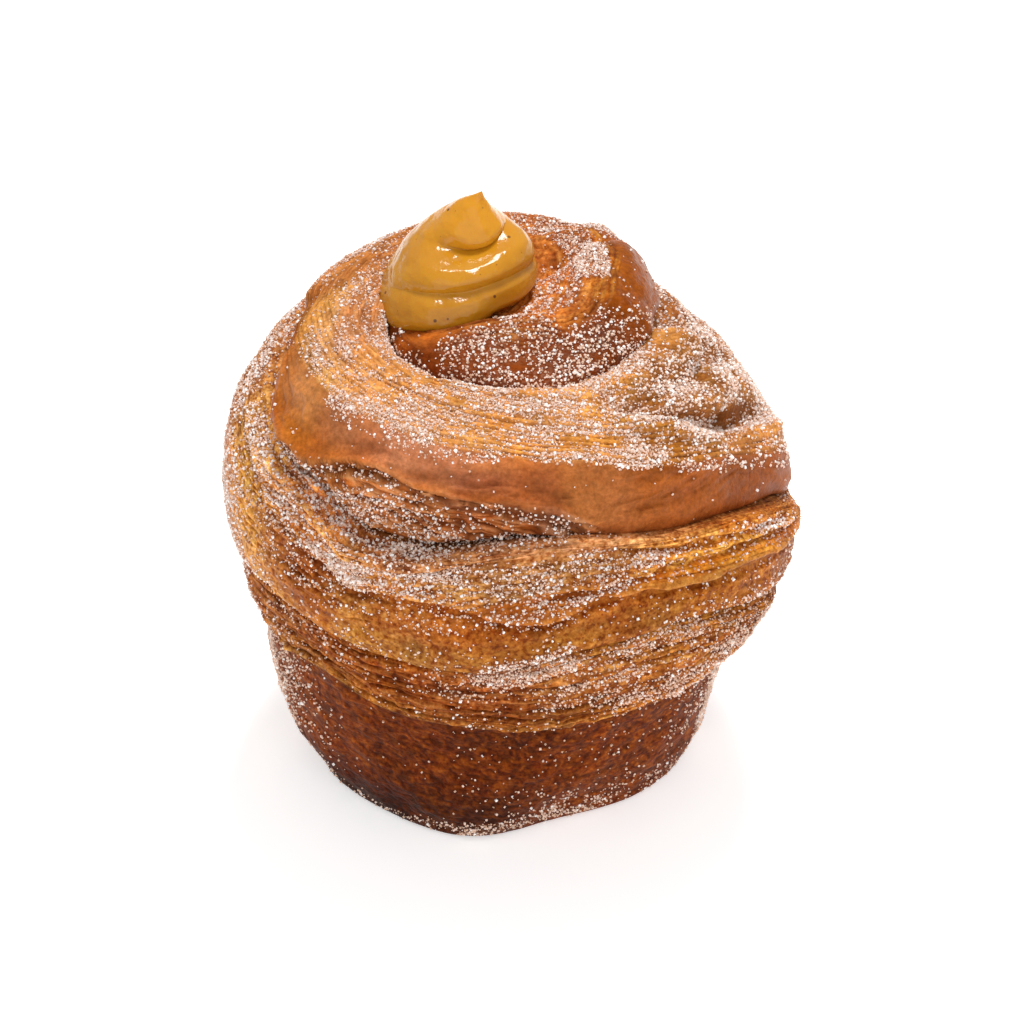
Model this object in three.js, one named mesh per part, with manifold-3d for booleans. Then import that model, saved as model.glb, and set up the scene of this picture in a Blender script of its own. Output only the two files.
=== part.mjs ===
// A cruffin: croissant dough rolled into a spiral, baked in a round ring and topped with a dollop of custard.
// Two solids: dough_body (the whole pastry, one piece) and cream_dollop (the custard that sits in the top of the coil).
// Millimetres, +Z up. The origin is the centre of the flat underside, the front of the pastry faces -Y.
import * as THREE from 'three';
import Module from 'manifold-3d';

// ---------------------------------------------------------------- driving sizes, mm and degrees
const BASE_BOTTOM_RADIUS = 31.1;   // foot of the ring-baked base
const BASE_TOP_RADIUS = 39.4;      // where the crown takes over
const BASE_TOP_HEIGHT = 30;
const CORNER = 2.2;                // rounding at the foot
const SWIRL_X = -6, SWIRL_Y = 6.5; // the coil's eye stands off the axis, to the left and back
const CROWN_DRIFT = 1.8;           // the crown leans this far to the right
const CREAM_GAP = 0.35;            // clear space under the custard

// crown outline as radius and height, from the eye of the coil out, over the shoulder and down to the skirt
const OUTLINE = [[0, 82.3], [6, 82.6], [12, 84.2], [18, 86], [24, 85.9], [30, 82.6], [36, 76.4], [41.2, 67],
  [44.2, 57], [45.6, 48], [45.3, 41], [43.8, 35], [41.6, 30.5], [39, 26.8], [36, 23.6]];

// swellings of the crown: angle, distance along the outline, height, half width in degrees, half width in mm
const SWELLINGS = [[-8, 62, 1.4, 28, 10], [185, 54, 0.6, 30, 12], [-22, 76, 1.6, 30, 8], [216, 77, -2.2, 24, 8],
  [265, 84, 1, 50, 4], [170, 31, -1.5, 38, 9], [8, 27, -2.9, 26, 7], [-3, 49, -3.6, 30, 7]];

// the one spiral crease between the turns of dough: unwound angle against distance along the outline
const SPIRAL_START = 120, SPIRAL_END = 1260;
const CREASE = [[120, 0], [165, 7.5], [200, 15.2], [222, 18.6], [243, 21.6], [261, 22.7], [282, 23.9], [295, 25.4],
  [318, 25.8], [335, 26.6], [357, 28.4], [374, 30.4], [410, 32.2], [460, 33.8], [521, 36.8], [541, 38.4],
  [556, 42.4], [571, 46.2], [587, 48.4], [601, 51.8], [611, 51.8], [625, 50.4], [637, 49], [657, 50.6],
  [684, 55.4], [706, 61.6], [718, 67.5], [745, 71.5], [800, 73.5], [915, 74.6], [931, 73.2], [982, 72.8],
  [1004, 69.2], [1025, 68.8], [1043, 72.2], [1068, 79], [1110, 81.5], [1180, 84], [1262, 93]];
// how deep the crease lies, how far the upper turn stands over the lower one, the widths of the slopes
// above and below the crease, and how far the upper edge hangs over it
const CREASE_DEPTH = [[120, 0], [165, 0.8], [200, 2], [235, 3], [330, 3.6], [366, 4], [450, 2.8], [566, 3.2],
  [600, 4.2], [625, 4.4], [690, 2.4], [900, 1.6], [930, 2], [1020, 1], [1180, 0.8], [1230, 0], [1262, 0]];
const TURN_STEP = [[120, 0], [170, 0.6], [230, 1.6], [366, 2], [400, 1.2], [450, 0.4], [535, 1.4], [566, 1.6],
  [650, 1], [800, 0.9], [930, 0.9], [1060, 0.4], [1200, 0], [1262, 0]];
const SLOPE_ABOVE = [[120, 2], [230, 6], [330, 9], [366, 8], [450, 5], [535, 3], [571, 2.4], [587, 5.5],
  [601, 10.5], [622, 8], [641, 4.2], [653, 2.4], [800, 3], [930, 2.2], [1262, 2]];
const SLOPE_BELOW = [[120, 3], [270, 3], [380, 6], [535, 5], [575, 5.5], [600, 3.6], [625, 1.6], [665, 1.2],
  [720, 3], [800, 4], [930, 2.4], [1262, 2]];
const OVERHANG = [[120, 0], [230, 0.5], [366, 0.8], [535, 1.2], [566, 1.4], [610, 0.2], [665, 1.5], [760, 1.2],
  [940, 1.5], [990, 0.6], [1060, 0.5], [1200, 0], [1262, 0]];

// ridges and edges that run along the turns, at unwound angles and distances along the outline
const INNER_CREST = [[150, 10], [200, 15], [236, 17], [255, 15.6], [281, 14], [301, 15.2], [315, 18.6], [357, 18.4],
  [382, 20.8], [440, 26]];
const SHOULDER = [[470, 32], [532, 34.5], [596, 34.4], [630, 36.2], [651, 38.6], [676, 44.2], [700, 53], [730, 64]];
const TORN_EDGE = [[560, 43.5], [578, 44.5], [601, 41], [622, 43.1], [641, 44.9], [653, 48.6]];
const THIRD_CREST = [[575, 51], [597, 55.2], [613, 54.1], [641, 50.2], [656, 51.9], [673, 55.2], [718, 70]];
const LOWER_EDGE = [[575, 55], [598, 60.5], [615, 59.4], [638, 62.3], [652, 59.6], [675, 63], [712, 71]];
const UPPER_EDGE = [[640, 58.2], [666, 57.7], [682, 60.5], [701, 65.4], [714, 69]];
const HOLLOW = [[300, 27.5], [313, 31], [334, 35.5], [356, 39.5], [400, 44]];
const HOLLOW_CREST = [[300, 30.5], [315, 35.2], [336, 39.5], [366, 45], [400, 46]];
const FOLD_ANGLE = 392;

// custard: height, radius and centre of the rings, from inside the coil up to the drawn-out tip
const CREAM_RINGS = [[80, 11.4, -7.4, 5.8], [82, 12.6, -7.3, 6], [84, 13.3, -7.2, 6.4], [86.5, 13.2, -6.7, 7.2],
  [88.5, 12.3, -5.9, 7.9], [90, 11.5, -5.4, 8.2], [92.5, 9.7, -5.7, 8.4], [95, 7.3, -5.8, 8.5],
  [98, 4.2, -5, 8.4], [100, 2.5, -4.1, 8.2], [101.6, 1, -3.1, 7.9], [102.4, 0, -2.6, 7.8]];
// the groove that winds up the custard: unwound angle against height
const CREAM_GROOVE = [[150, 84.2], [180, 85.6], [225, 88.6], [270, 90.2], [370, 90.2], [450, 91.6], [540, 93.2],
  [640, 95], [680, 96.8], [715, 99]];
const GROOVE_DEPTH = 1.25;

// how finely the solids are faceted
const STEPS_PER_TURN = 60, STEPS_ACROSS = 13, STEPS_DOWN = 8;
const CREAM_ROUND = 36, CREAM_UP = 18;

// ---------------------------------------------------------------- small functions
const clamp = (x, a, b) => Math.min(Math.max(x, a), b);
const smooth = (a, b, x) => { const t = clamp((x - a) / (b - a), 0, 1); return t * t * (3 - 2 * t); };
const bell = (x, w) => Math.exp(-((x / w) ** 2));
const wrap = (a) => ((((a + 180) % 360) + 360) % 360) - 180;
const rad = (a) => a * Math.PI / 180;

// a smooth curve through the rows of a table that never overshoots them
function curve(table, column = 1) {
  const xs = table.map((r) => r[0]), ys = table.map((r) => r[column]), n = xs.length;
  const h = [], d = [], m = new Array(n).fill(0);
  for (let i = 0; i < n - 1; i++) { h.push(xs[i + 1] - xs[i]); d.push((ys[i + 1] - ys[i]) / h[i]); }
  for (let i = 1; i < n - 1; i++) {
    if (d[i - 1] * d[i] > 0) {
      const a = 2 * h[i] + h[i - 1], b = h[i] + 2 * h[i - 1];
      m[i] = (a + b) / (a / d[i - 1] + b / d[i]);
    }
  }
  m[0] = d[0]; m[n - 1] = d[n - 2];
  return (x) => {
    x = clamp(x, xs[0], xs[n - 1]);
    let i = 0;
    while (i < n - 2 && x >= xs[i + 1]) i++;
    const t = (x - xs[i]) / h[i];
    return ys[i] * (1 + 2 * t) * (1 - t) ** 2 + m[i] * h[i] * t * (1 - t) ** 2
      + ys[i + 1] * t * t * (3 - 2 * t) + m[i + 1] * h[i] * t * t * (t - 1);
  };
}

// ---------------------------------------------------------------- the crown's outline by distance along it
const chord = OUTLINE.map(() => 0);
for (let i = 1; i < OUTLINE.length; i++) {
  chord[i] = chord[i - 1] + Math.hypot(OUTLINE[i][0] - OUTLINE[i - 1][0], OUTLINE[i][1] - OUTLINE[i - 1][1]);
}
const radiusOnChord = curve(OUTLINE.map((p, i) => [chord[i], p[0]]));
const heightOnChord = curve(OUTLINE.map((p, i) => [chord[i], p[1]]));
const SAMPLES = 1200, walk = [[0, OUTLINE[0][0], OUTLINE[0][1]]];
for (let i = 1; i <= SAMPLES; i++) {
  const c = chord[chord.length - 1] * i / SAMPLES, r = radiusOnChord(c), z = heightOnChord(c), p = walk[i - 1];
  walk.push([p[0] + Math.hypot(r - p[1], z - p[2]), r, z]);
}
const OUTLINE_LENGTH = walk[SAMPLES][0];
function onOutline(v) {
  v = clamp(v, 0, OUTLINE_LENGTH);
  let lo = 0, hi = SAMPLES;
  while (hi - lo > 1) { const k = (lo + hi) >> 1; if (walk[k][0] <= v) lo = k; else hi = k; }
  const t = (v - walk[lo][0]) / (walk[hi][0] - walk[lo][0]);
  return [walk[lo][1] + t * (walk[hi][1] - walk[lo][1]), walk[lo][2] + t * (walk[hi][2] - walk[lo][2])];
}

function crown(angle, v) {
  const [rho, z] = onOutline(v);
  const inner = 1 - smooth(0, 34, rho), low = smooth(70, 40, z);
  let r = rho;
  for (const [a, at, height, wa, wv] of SWELLINGS) {
    r += height * bell(wrap(angle - a), wa) * bell(v - at, wv) * smooth(0, 10, rho);
  }
  const t = rad(angle);
  return new THREE.Vector3(SWIRL_X * inner + CROWN_DRIFT * low + r * Math.cos(t), SWIRL_Y * inner + r * Math.sin(t), z);
}

function skirtEdge(angle) {
  const front = wrap(angle - 285);
  return 85.4 + 1.4 * bell(front, 60) - 3.2 * bell(wrap(angle - 229), 14) + 2 * bell(wrap(angle - 200), 12)
    + 1.6 * bell(wrap(angle - 325), 14) + 0.7 * Math.cos(rad(9 * angle + 20)) * bell(front, 60)
    + 0.5 * Math.cos(rad(3 * angle + 60));
}

const creaseAt = curve(CREASE), depthAt = curve(CREASE_DEPTH), stepAt = curve(TURN_STEP);
const aboveAt = curve(SLOPE_ABOVE), belowAt = curve(SLOPE_BELOW), overhangAt = curve(OVERHANG);
const crease = (phi) => Math.min(phi <= SPIRAL_START ? 0 : creaseAt(phi), skirtEdge(phi));

// a rounded ridge, or a sheet's edge that rises slowly and drops quickly, along a line of the spiral;
// wound is 360 where the line is measured from the crease on the outer side of its turn
const ridge = (table, height, width, from, fadeIn, to, fadeOut, wound = 0) => {
  const at = curve(table);
  return (inner, v, phi = inner + wound) => height * smooth(from, from + fadeIn, phi) * smooth(to, to - fadeOut, phi) * bell(v - at(phi), width);
};
const sheet = (table, height, rise, drop, from, fadeIn, to, fadeOut, wound = 0) => {
  const at = curve(table);
  return (inner, v, phi = inner + wound) => {
    const x = v - at(phi);
    return height * smooth(from, from + fadeIn, phi) * smooth(to, to - fadeOut, phi)
      * (x < 0 ? Math.exp(x / rise) : 1 - smooth(0, drop, x));
  };
};
const RELIEF = [
  ridge(INNER_CREST, 1.7, 3.6, 190, 40, 416, 44, 360),
  ridge(SHOULDER, 1.3, 3.6, 470, 40, 730, 20, 360),
  sheet(TORN_EDGE, 1.3, 3, 1.6, 562, 12, 650, 10, 360),
  ridge(THIRD_CREST, 1.3, 2, 580, 14, 722, 16),
  ridge(THIRD_CREST, 0.8, 4.5, 580, 14, 722, 16),
  sheet(LOWER_EDGE, 1, 2.4, 1.2, 600, 10, 725, 14),
  sheet(UPPER_EDGE, 0.9, 2, 1, 645, 10, 712, 10),
  ridge(HOLLOW, -1.8, 3, 296, 20, 392, 24),
  ridge(HOLLOW, -1.6, 3, 338, 14, 376, 16),
  ridge(HOLLOW_CREST, 1, 2, 300, 20, 396, 30),
  (phi, v) => -1.5 * bell(FOLD_ANGLE - 360 - phi + 1.2 * (v - 20), 6) * smooth(9, 15, v) * smooth(33, 24, v),
];

// a point on the turn of dough between the crease at phi and the crease one turn further out; s runs from 0 to 1 across it
function turn(phi, s) {
  const angle = ((phi % 360) + 360) % 360, edge = skirtEdge(angle);
  const vi = crease(phi), vo = crease(phi + 360), v = vi + (vo - vi) * s;
  const width = Math.max(vo - vi, 1e-6), a = s * width, b = (1 - s) * width;
  const openOuter = smooth(0, 3, edge - vo);
  const inner = phi > SPIRAL_START ? depthAt(phi) * smooth(0, 3, edge - vi) : 0, outer = depthAt(phi + 360) * openOuter;
  const step = stepAt(phi + 360) * openOuter;
  const x = clamp(b / Math.min(aboveAt(phi + 360), 0.52 * width), 0, 1);
  const y = clamp(a / Math.min(belowAt(phi), 0.42 * width), 0, 1);
  const fallOuter = 0.55 * (1 - Math.sqrt(Math.max(1 - (1 - x) ** 2, 0))) + 0.45 * (1 - x) ** 1.5 * (1 - smooth(0.6, 1, x));
  const fallInner = (1 - y) ** 1.7;
  let out = step * smooth(0, 1, s) - (outer + step) * fallOuter - inner * fallInner + 0.8 * 4 * s * (1 - s) * smooth(6, 26, width);
  const clear = smooth(0, 0.1, s) * smooth(0, 0.1, 1 - s);
  for (const f of RELIEF) out += f(phi, v) * clear;
  const along = overhangAt(phi + 360) * openOuter * clamp(x / 0.18, 0, 1) * (1 - smooth(0.18, 1, x));
  const e = 0.1, p = crown(angle, v);
  const down = crown(angle, clamp(v + e, 0, OUTLINE_LENGTH)).sub(crown(angle, clamp(v - e, 0, OUTLINE_LENGTH))).normalize();
  const round = new THREE.Vector3(-Math.sin(rad(angle)), Math.cos(rad(angle)), 0);
  const normal = new THREE.Vector3().crossVectors(down, round).normalize();
  return p.addScaledVector(normal, out).addScaledVector(down, along);
}

// ---------------------------------------------------------------- base: under the skirt, down the wall, round the foot
function baseRadius(angle, z) {
  return BASE_BOTTOM_RADIUS + (BASE_TOP_RADIUS - BASE_BOTTOM_RADIUS) * clamp(z / BASE_TOP_HEIGHT, 0, 1.2) ** 0.72
    + 1.1 * bell(wrap(angle - 258), 17) * smooth(26, 0, z) - 2.7 * bell(wrap(angle - 290), 20) * smooth(16, 0, z)
    + 0.9 * bell(wrap(angle - 345), 30) + 1.6 * bell(wrap(angle - 203), 26) * smooth(2, 10, z) * smooth(34, 20, z)
    - 1.7 * bell(wrap(angle - 268), 48) * smooth(6, 22, z)
    + 0.3 * Math.cos(rad(2 * (angle - 15))) + 0.22 * Math.cos(rad(5 * angle + 60));
}
const UNDER = 0.14, WALL = 0.72, FOOT = 0.82;
function basePoint(angle, u, edge) {
  const edgeRadius = Math.hypot(edge.x, edge.y), top = edge.z + 0.8;
  const topRadius = Math.min(baseRadius(angle, top - 1.5), edgeRadius - 2.6 + 2 * bell(wrap(angle - 198), 18));
  let r, z;
  if (u < UNDER) {
    const k = u / UNDER;
    r = edgeRadius + (topRadius - edgeRadius) * k; z = edge.z + (top - edge.z) * Math.sin(Math.PI * 0.5 * k);
  } else if (u < WALL) {
    const k = (u - UNDER) / (WALL - UNDER);
    z = top + (CORNER - top) * k; r = baseRadius(angle, z) + (topRadius - baseRadius(angle, top)) * (1 - k) ** 3;
  } else if (u < FOOT) {
    const k = (u - WALL) / (FOOT - WALL) * Math.PI / 2;
    r = baseRadius(angle, CORNER) - CORNER * (1 - Math.cos(k)); z = CORNER * (1 - Math.sin(k));
  } else {
    r = (baseRadius(angle, CORNER) - CORNER) * (1 - (u - FOOT) / (1 - FOOT)); z = 0;
  }
  const off = wrap(Math.atan2(edge.y, edge.x) * 180 / Math.PI - angle), t = rad(angle + off * (1 - clamp(u / 0.6, 0, 1)));
  return new THREE.Vector3(r * Math.cos(t), r * Math.sin(t), z);
}

// ---------------------------------------------------------------- a closed mesh from rows of points, joined where they meet
class Shell {
  constructor() { this.points = []; this.index = new Map(); this.triangles = []; }
  add(p) {
    const key = [p.x, p.y, p.z].map((c) => Math.round(c * 2000)).join();
    if (!this.index.has(key)) { this.index.set(key, this.points.length); this.points.push(p.clone()); }
    return this.index.get(key);
  }
  triangle(a, b, c) { if (a !== b && b !== c && c !== a) this.triangles.push(a, b, c); }
  quad(a, b, c, d) { this.triangle(a, b, c); this.triangle(a, c, d); }
  geometry() {
    const g = new THREE.BufferGeometry();
    g.setAttribute('position', new THREE.Float32BufferAttribute(this.points.flatMap((p) => [p.x, p.y, p.z]), 3));
    g.setIndex(this.triangles);
    g.computeVertexNormals();
    return g;
  }
}

function doughShell() {
  const shell = new Shell(), stepAngle = 360 / STEPS_PER_TURN;
  const across = Array.from({ length: STEPS_ACROSS + 1 }, (_, j) => {
    const u = j / STEPS_ACROSS;
    return 0.5 * u + 0.5 * (0.5 - 0.5 * Math.cos(Math.PI * u));
  });
  const rows = [];
  for (let phi = SPIRAL_START - 360; phi <= SPIRAL_END + 1e-9; phi += stepAngle) {
    rows.push({ phi, points: across.map((s) => turn(phi, s)) });
  }
  const ids = rows.map((row) => row.points.map((p) => shell.add(p)));
  for (let i = 0; i + 1 < rows.length; i++) {
    for (let j = 0; j < STEPS_ACROSS; j++) shell.quad(ids[i][j], ids[i][j + 1], ids[i + 1][j + 1], ids[i + 1][j]);
  }
  // the last turn's outer edge is the skirt: the base hangs from it
  const stages = [UNDER * 0.5, UNDER];
  for (let k = 1; k <= STEPS_DOWN - 4; k++) stages.push(UNDER + (WALL - UNDER) * k / (STEPS_DOWN - 4));
  stages.push((WALL + FOOT) / 2, FOOT, 1);
  const first = rows.length - 1 - STEPS_PER_TURN, columns = [];
  for (let i = 0; i < STEPS_PER_TURN; i++) {
    const edge = rows[first + i].points[STEPS_ACROSS], angle = ((rows[first + i].phi % 360) + 360) % 360;
    columns.push([ids[first + i][STEPS_ACROSS], ...stages.map((u) => shell.add(basePoint(angle, u, edge)))]);
  }
  for (let i = 0; i < STEPS_PER_TURN; i++) {
    const a = columns[i], b = columns[(i + 1) % STEPS_PER_TURN];
    for (let j = 0; j + 1 < a.length; j++) shell.quad(a[j], a[j + 1], b[j + 1], b[j]);
  }
  return shell;
}

// ---------------------------------------------------------------- custard
function creamPoint(angle, h) {
  const last = CREAM_RINGS.length - 1, t = h * last, i = Math.min(Math.floor(t), last - 1), f = t - i;
  const mix = (c) => CREAM_RINGS[i][c] + f * (CREAM_RINGS[i + 1][c] - CREAM_RINGS[i][c]);
  const z = creamHeight(t);
  let r = creamRadius(t), groove = 0;
  for (const wound of [0, 360, 720]) {
    const psi = angle + wound, on = smooth(150, 185, psi) * smooth(715, 690, psi), d = z - grooveAt(psi);
    groove += on * (-GROOVE_DEPTH * Math.exp(-Math.abs(d) / 0.9) + 0.7 * bell(d - 2.2, 1.8) + 0.5 * bell(d + 2.4, 2));
  }
  r = Math.max(r + groove * smooth(0, 4, r), 0);
  // the tip is drawn out to one side with a sharp edge
  r *= 1 + 0.16 * Math.exp(-Math.abs(wrap(angle - 350)) / 22) * smooth(94, 98, z);
  return new THREE.Vector3(mix(2) + r * Math.cos(rad(angle)), mix(3) + r * Math.sin(rad(angle)), z);
}
const creamHeight = curve(CREAM_RINGS.map((r, i) => [i, r[0]])), creamRadius = curve(CREAM_RINGS.map((r, i) => [i, r[1]]));
const grooveAt = curve(CREAM_GROOVE);

function creamShell() {
  const shell = new Shell(), columns = [];
  for (let i = 0; i < CREAM_ROUND; i++) {
    const angle = 360 * i / CREAM_ROUND;
    columns.push(Array.from({ length: CREAM_UP + 1 }, (_, j) => shell.add(creamPoint(angle, j / CREAM_UP))));
  }
  const [z, , x, y] = CREAM_RINGS[0], bottom = shell.add(new THREE.Vector3(x, y, z));
  for (let i = 0; i < CREAM_ROUND; i++) {
    const a = columns[i], b = columns[(i + 1) % CREAM_ROUND];
    for (let j = 0; j < CREAM_UP; j++) shell.quad(a[j], b[j], b[j + 1], a[j + 1]);
    shell.triangle(b[0], a[0], bottom);
  }
  return shell;
}

// ---------------------------------------------------------------- the custard's underside takes the coil's shape
const wasm = await Module();
wasm.setup();
const solid = (shell, lift = 0) => new wasm.Manifold(new wasm.Mesh({
  numProp: 3,
  vertProperties: Float32Array.from(shell.points.flatMap((p) => [p.x, p.y, p.z + lift])),
  triVerts: Uint32Array.from(shell.triangles),
}));

const dough = doughShell();
const cut = solid(creamShell()).subtract(solid(dough, CREAM_GAP)).decompose()
  .sort((a, b) => b.volume() - a.volume())[0].getMesh();
const cream = new Shell(), creamIds = [];
for (let i = 0; i < cut.vertProperties.length / cut.numProp; i++) {
  const k = i * cut.numProp;
  creamIds.push(cream.add(new THREE.Vector3(cut.vertProperties[k], cut.vertProperties[k + 1], cut.vertProperties[k + 2])));
}
for (let i = 0; i < cut.triVerts.length; i += 3) {
  cream.triangle(creamIds[cut.triVerts[i]], creamIds[cut.triVerts[i + 1]], creamIds[cut.triVerts[i + 2]]);
}

// ---------------------------------------------------------------- the scene graph
const cruffin = new THREE.Group();
const doughMesh = new THREE.Mesh(dough.geometry(), new THREE.MeshStandardMaterial({ color: 0xb9702f, roughness: 0.62, metalness: 0 }));
doughMesh.name = 'dough_body';
cruffin.add(doughMesh);
const creamMesh = new THREE.Mesh(cream.geometry(), new THREE.MeshStandardMaterial({ color: 0xd79a2b, roughness: 0.25, metalness: 0 }));
creamMesh.name = 'cream_dollop';
cruffin.add(creamMesh);

export default cruffin;
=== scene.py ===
"""Looks for the cruffin: a spiral of laminated dough baked in a ring, a dollop of custard cream and loose sugar."""
import math

import bpy
import numpy as np
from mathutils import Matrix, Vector


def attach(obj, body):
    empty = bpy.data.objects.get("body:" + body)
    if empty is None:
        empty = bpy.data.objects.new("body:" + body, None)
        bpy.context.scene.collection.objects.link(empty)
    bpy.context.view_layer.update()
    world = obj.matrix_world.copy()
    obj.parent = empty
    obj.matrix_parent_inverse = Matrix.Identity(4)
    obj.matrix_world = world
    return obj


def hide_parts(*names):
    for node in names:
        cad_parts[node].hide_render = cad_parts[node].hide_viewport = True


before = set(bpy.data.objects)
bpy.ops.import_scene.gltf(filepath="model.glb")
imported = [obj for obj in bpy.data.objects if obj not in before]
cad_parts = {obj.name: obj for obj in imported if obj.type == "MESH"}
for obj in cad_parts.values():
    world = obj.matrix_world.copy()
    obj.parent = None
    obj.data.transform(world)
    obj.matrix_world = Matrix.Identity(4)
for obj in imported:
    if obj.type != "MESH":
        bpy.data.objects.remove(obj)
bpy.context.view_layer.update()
SEED = 7411


# ------------------------------------------------------------------ small tools (mm and degrees)
def curve(table, x):
    """Monotone cubic through (x, y) pairs, level past both ends."""
    xs = np.array([a for a, _ in table], float)
    ys = np.array([b for _, b in table], float)
    x = np.clip(np.asarray(x, float), xs[0], xs[-1])
    h = np.diff(xs)
    d = np.diff(ys) / h
    m = np.zeros(len(xs))
    for i in range(1, len(xs) - 1):
        if d[i - 1] * d[i] > 0:
            w1, w2 = 2 * h[i] + h[i - 1], h[i] + 2 * h[i - 1]
            m[i] = (w1 + w2) / (w1 / d[i - 1] + w2 / d[i])
    m[0], m[-1] = d[0], d[-1]
    i = np.clip(np.searchsorted(xs, x, side="right") - 1, 0, len(xs) - 2)
    t = (x - xs[i]) / h[i]
    return ys[i] * (1 + 2 * t) * (1 - t) ** 2 + m[i] * h[i] * t * (1 - t) ** 2 + ys[i + 1] * t * t * (3 - 2 * t) + m[i + 1] * h[i] * t * t * (t - 1)


def smooth(a, b, x):
    t = np.clip((x - a) / (b - a), 0, 1)
    return t * t * (3 - 2 * t)


def bell(x, w):
    return np.exp(-((x / w) ** 2))


def window(x, a, fa, b, fb):
    """1 between a and b, fading out over fa below a and fb above b."""
    return smooth(a - fa, a, x) * (1 - smooth(b, b + fb, x))


def wrap(a):
    return (a + 180) % 360 - 180


def lerp(a, b, t):
    return a + (b - a) * t


def _hash(ix, iy, iz, seed):
    h = ix * np.uint32(374761393) + iy * np.uint32(668265263) + iz * np.uint32(2246822519) + np.uint32((seed * 3266489917 + 12345) & 0xFFFFFFFF)
    h ^= h >> np.uint32(15)
    h *= np.uint32(2246822519)
    h ^= h >> np.uint32(13)
    h *= np.uint32(3266489917)
    h ^= h >> np.uint32(16)
    return h.astype(np.float64) / 4294967295.0


def noise(x, y, z=0.0, seed=0):
    """Smooth value noise, -1 to 1, one bump a unit."""
    x, y, z = np.broadcast_arrays(np.asarray(x, float), np.asarray(y, float), np.asarray(z, float))
    fx, fy, fz = np.floor(x), np.floor(y), np.floor(z)
    tx, ty, tz = x - fx, y - fy, z - fz
    tx, ty, tz = (t * t * t * (t * (t * 6 - 15) + 10) for t in (tx, ty, tz))
    ix, iy, iz = ((f.astype(np.int64) & 0xFFFFFFFF).astype(np.uint32) for f in (fx, fy, fz))
    one = np.uint32(1)
    out = 0
    for cz in (0, 1):
        for cy in (0, 1):
            for cx in (0, 1):
                w = (tx if cx else 1 - tx) * (ty if cy else 1 - ty) * (tz if cz else 1 - tz)
                out = out + w * _hash(ix + one * np.uint32(cx), iy + one * np.uint32(cy), iz + one * np.uint32(cz), seed)
    return out * 2 - 1


def fbm(x, y, z=0.0, seed=0, octaves=3, gain=0.5):
    out, amp, total, f = 0, 1.0, 0.0, 1.0
    for k in range(octaves):
        out = out + amp * noise(x * f + 17.3 * k, y * f - 9.1 * k, z * f + 4.7 * k, seed + k)
        total += amp
        amp *= gain
        f *= 2.03
    return out / total


def terraces(n, levels, w):
    """Steps of a noise field: height 0 to 1, a painted highlight along the upper edge of each step and painted shade in
    the slit under it.
    """
    t = (n * 0.5 + 0.5) * levels
    f = np.floor(t)
    r = t - f
    return (f + smooth(0.5 - w, 0.5 + w, r)) / levels, bell(r - 0.5 - 1.6 * w, 1.3 * w), bell(r - 0.5 + 1.6 * w, 1.3 * w)


def layers(phase, w=0.16):
    """A stack of sheet edges, one a unit of phase: height 0 to 1 with a quick drop, a painted highlight along its edge
    and painted shade in the slit beside it.
    """
    r = phase - np.floor(phase)
    h = smooth(0, 1 - w, r) * (1 - smooth(1 - w, 1, r))
    return h, bell(r - (1 - 1.6 * w), w), bell(r - 0.04, 0.10) + bell(r - 1.04, 0.10)


# ------------------------------------------------------------------ the crown's envelope
MERIDIAN = np.array([(0, 82.3), (6, 82.6), (12, 84.2), (18, 86.0), (24, 85.9), (30, 82.6), (36, 76.4), (41.2, 67.0), (44.2, 57), (45.6, 48), (45.3, 41), (43.8, 35), (41.6, 30.5), (39.0, 26.8), (36.0, 23.6)], float)
_chord = np.r_[0, np.cumsum(np.hypot(*np.diff(MERIDIAN, axis=0).T))]
_t = np.linspace(0, _chord[-1], 1201)
_r = curve(list(zip(_chord, MERIDIAN[:, 0])), _t)
_z = curve(list(zip(_chord, MERIDIAN[:, 1])), _t)
_arc = np.r_[0, np.cumsum(np.hypot(np.diff(_r), np.diff(_z)))]
LENGTH = _arc[-1]
SWIRL_CENTRE = (-6.0, 6.5)
# broad swellings: angle, place along the meridian, height, half width in degrees and along the meridian
SWELLINGS = [(-8, 62, 1.4, 28, 10), (185, 54, 0.6, 30, 12), (-22, 76, 1.6, 30, 8), (216, 77, -2.2, 24, 8), (265, 84, 1.0, 50, 4), (170, 31, -1.5, 38, 9), (8, 27, -2.9, 26, 7), (-3, 49, -3.6, 30, 7)]


def radius_at(v):
    return np.interp(v, _arc, _r)


def height_at(v):
    return np.interp(v, _arc, _z)


def envelope(th, v):
    w = 1 - smooth(0, 34, radius_at(v))
    cx = SWIRL_CENTRE[0] * w + 1.8 * smooth(70, 40, height_at(v))
    cy = SWIRL_CENTRE[1] * w
    swell = 0
    for a, c, h, wa, wv in SWELLINGS:
        swell = swell + h * bell(wrap(th - a), wa) * bell(v - c, wv)
    r = radius_at(v) + swell * smooth(0, 10, radius_at(v))
    t = np.radians(th)
    return np.stack([cx + r * np.cos(t), cy + r * np.sin(t), height_at(v) + 0 * t], -1)


def envelope_frame(th, v):
    e = 0.1
    p = envelope(th, v)
    d = envelope(th, np.clip(v + e, 0, LENGTH)) - envelope(th, np.clip(v - e, 0, LENGTH))
    tv = d / (np.linalg.norm(d, axis=-1, keepdims=True) + 1e-9)
    t = np.radians(th)
    n = np.cross(tv, np.stack([-np.sin(t), np.cos(t), 0 * t], -1))
    n /= np.linalg.norm(n, axis=-1, keepdims=True) + 1e-9
    return p, tv, n


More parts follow.
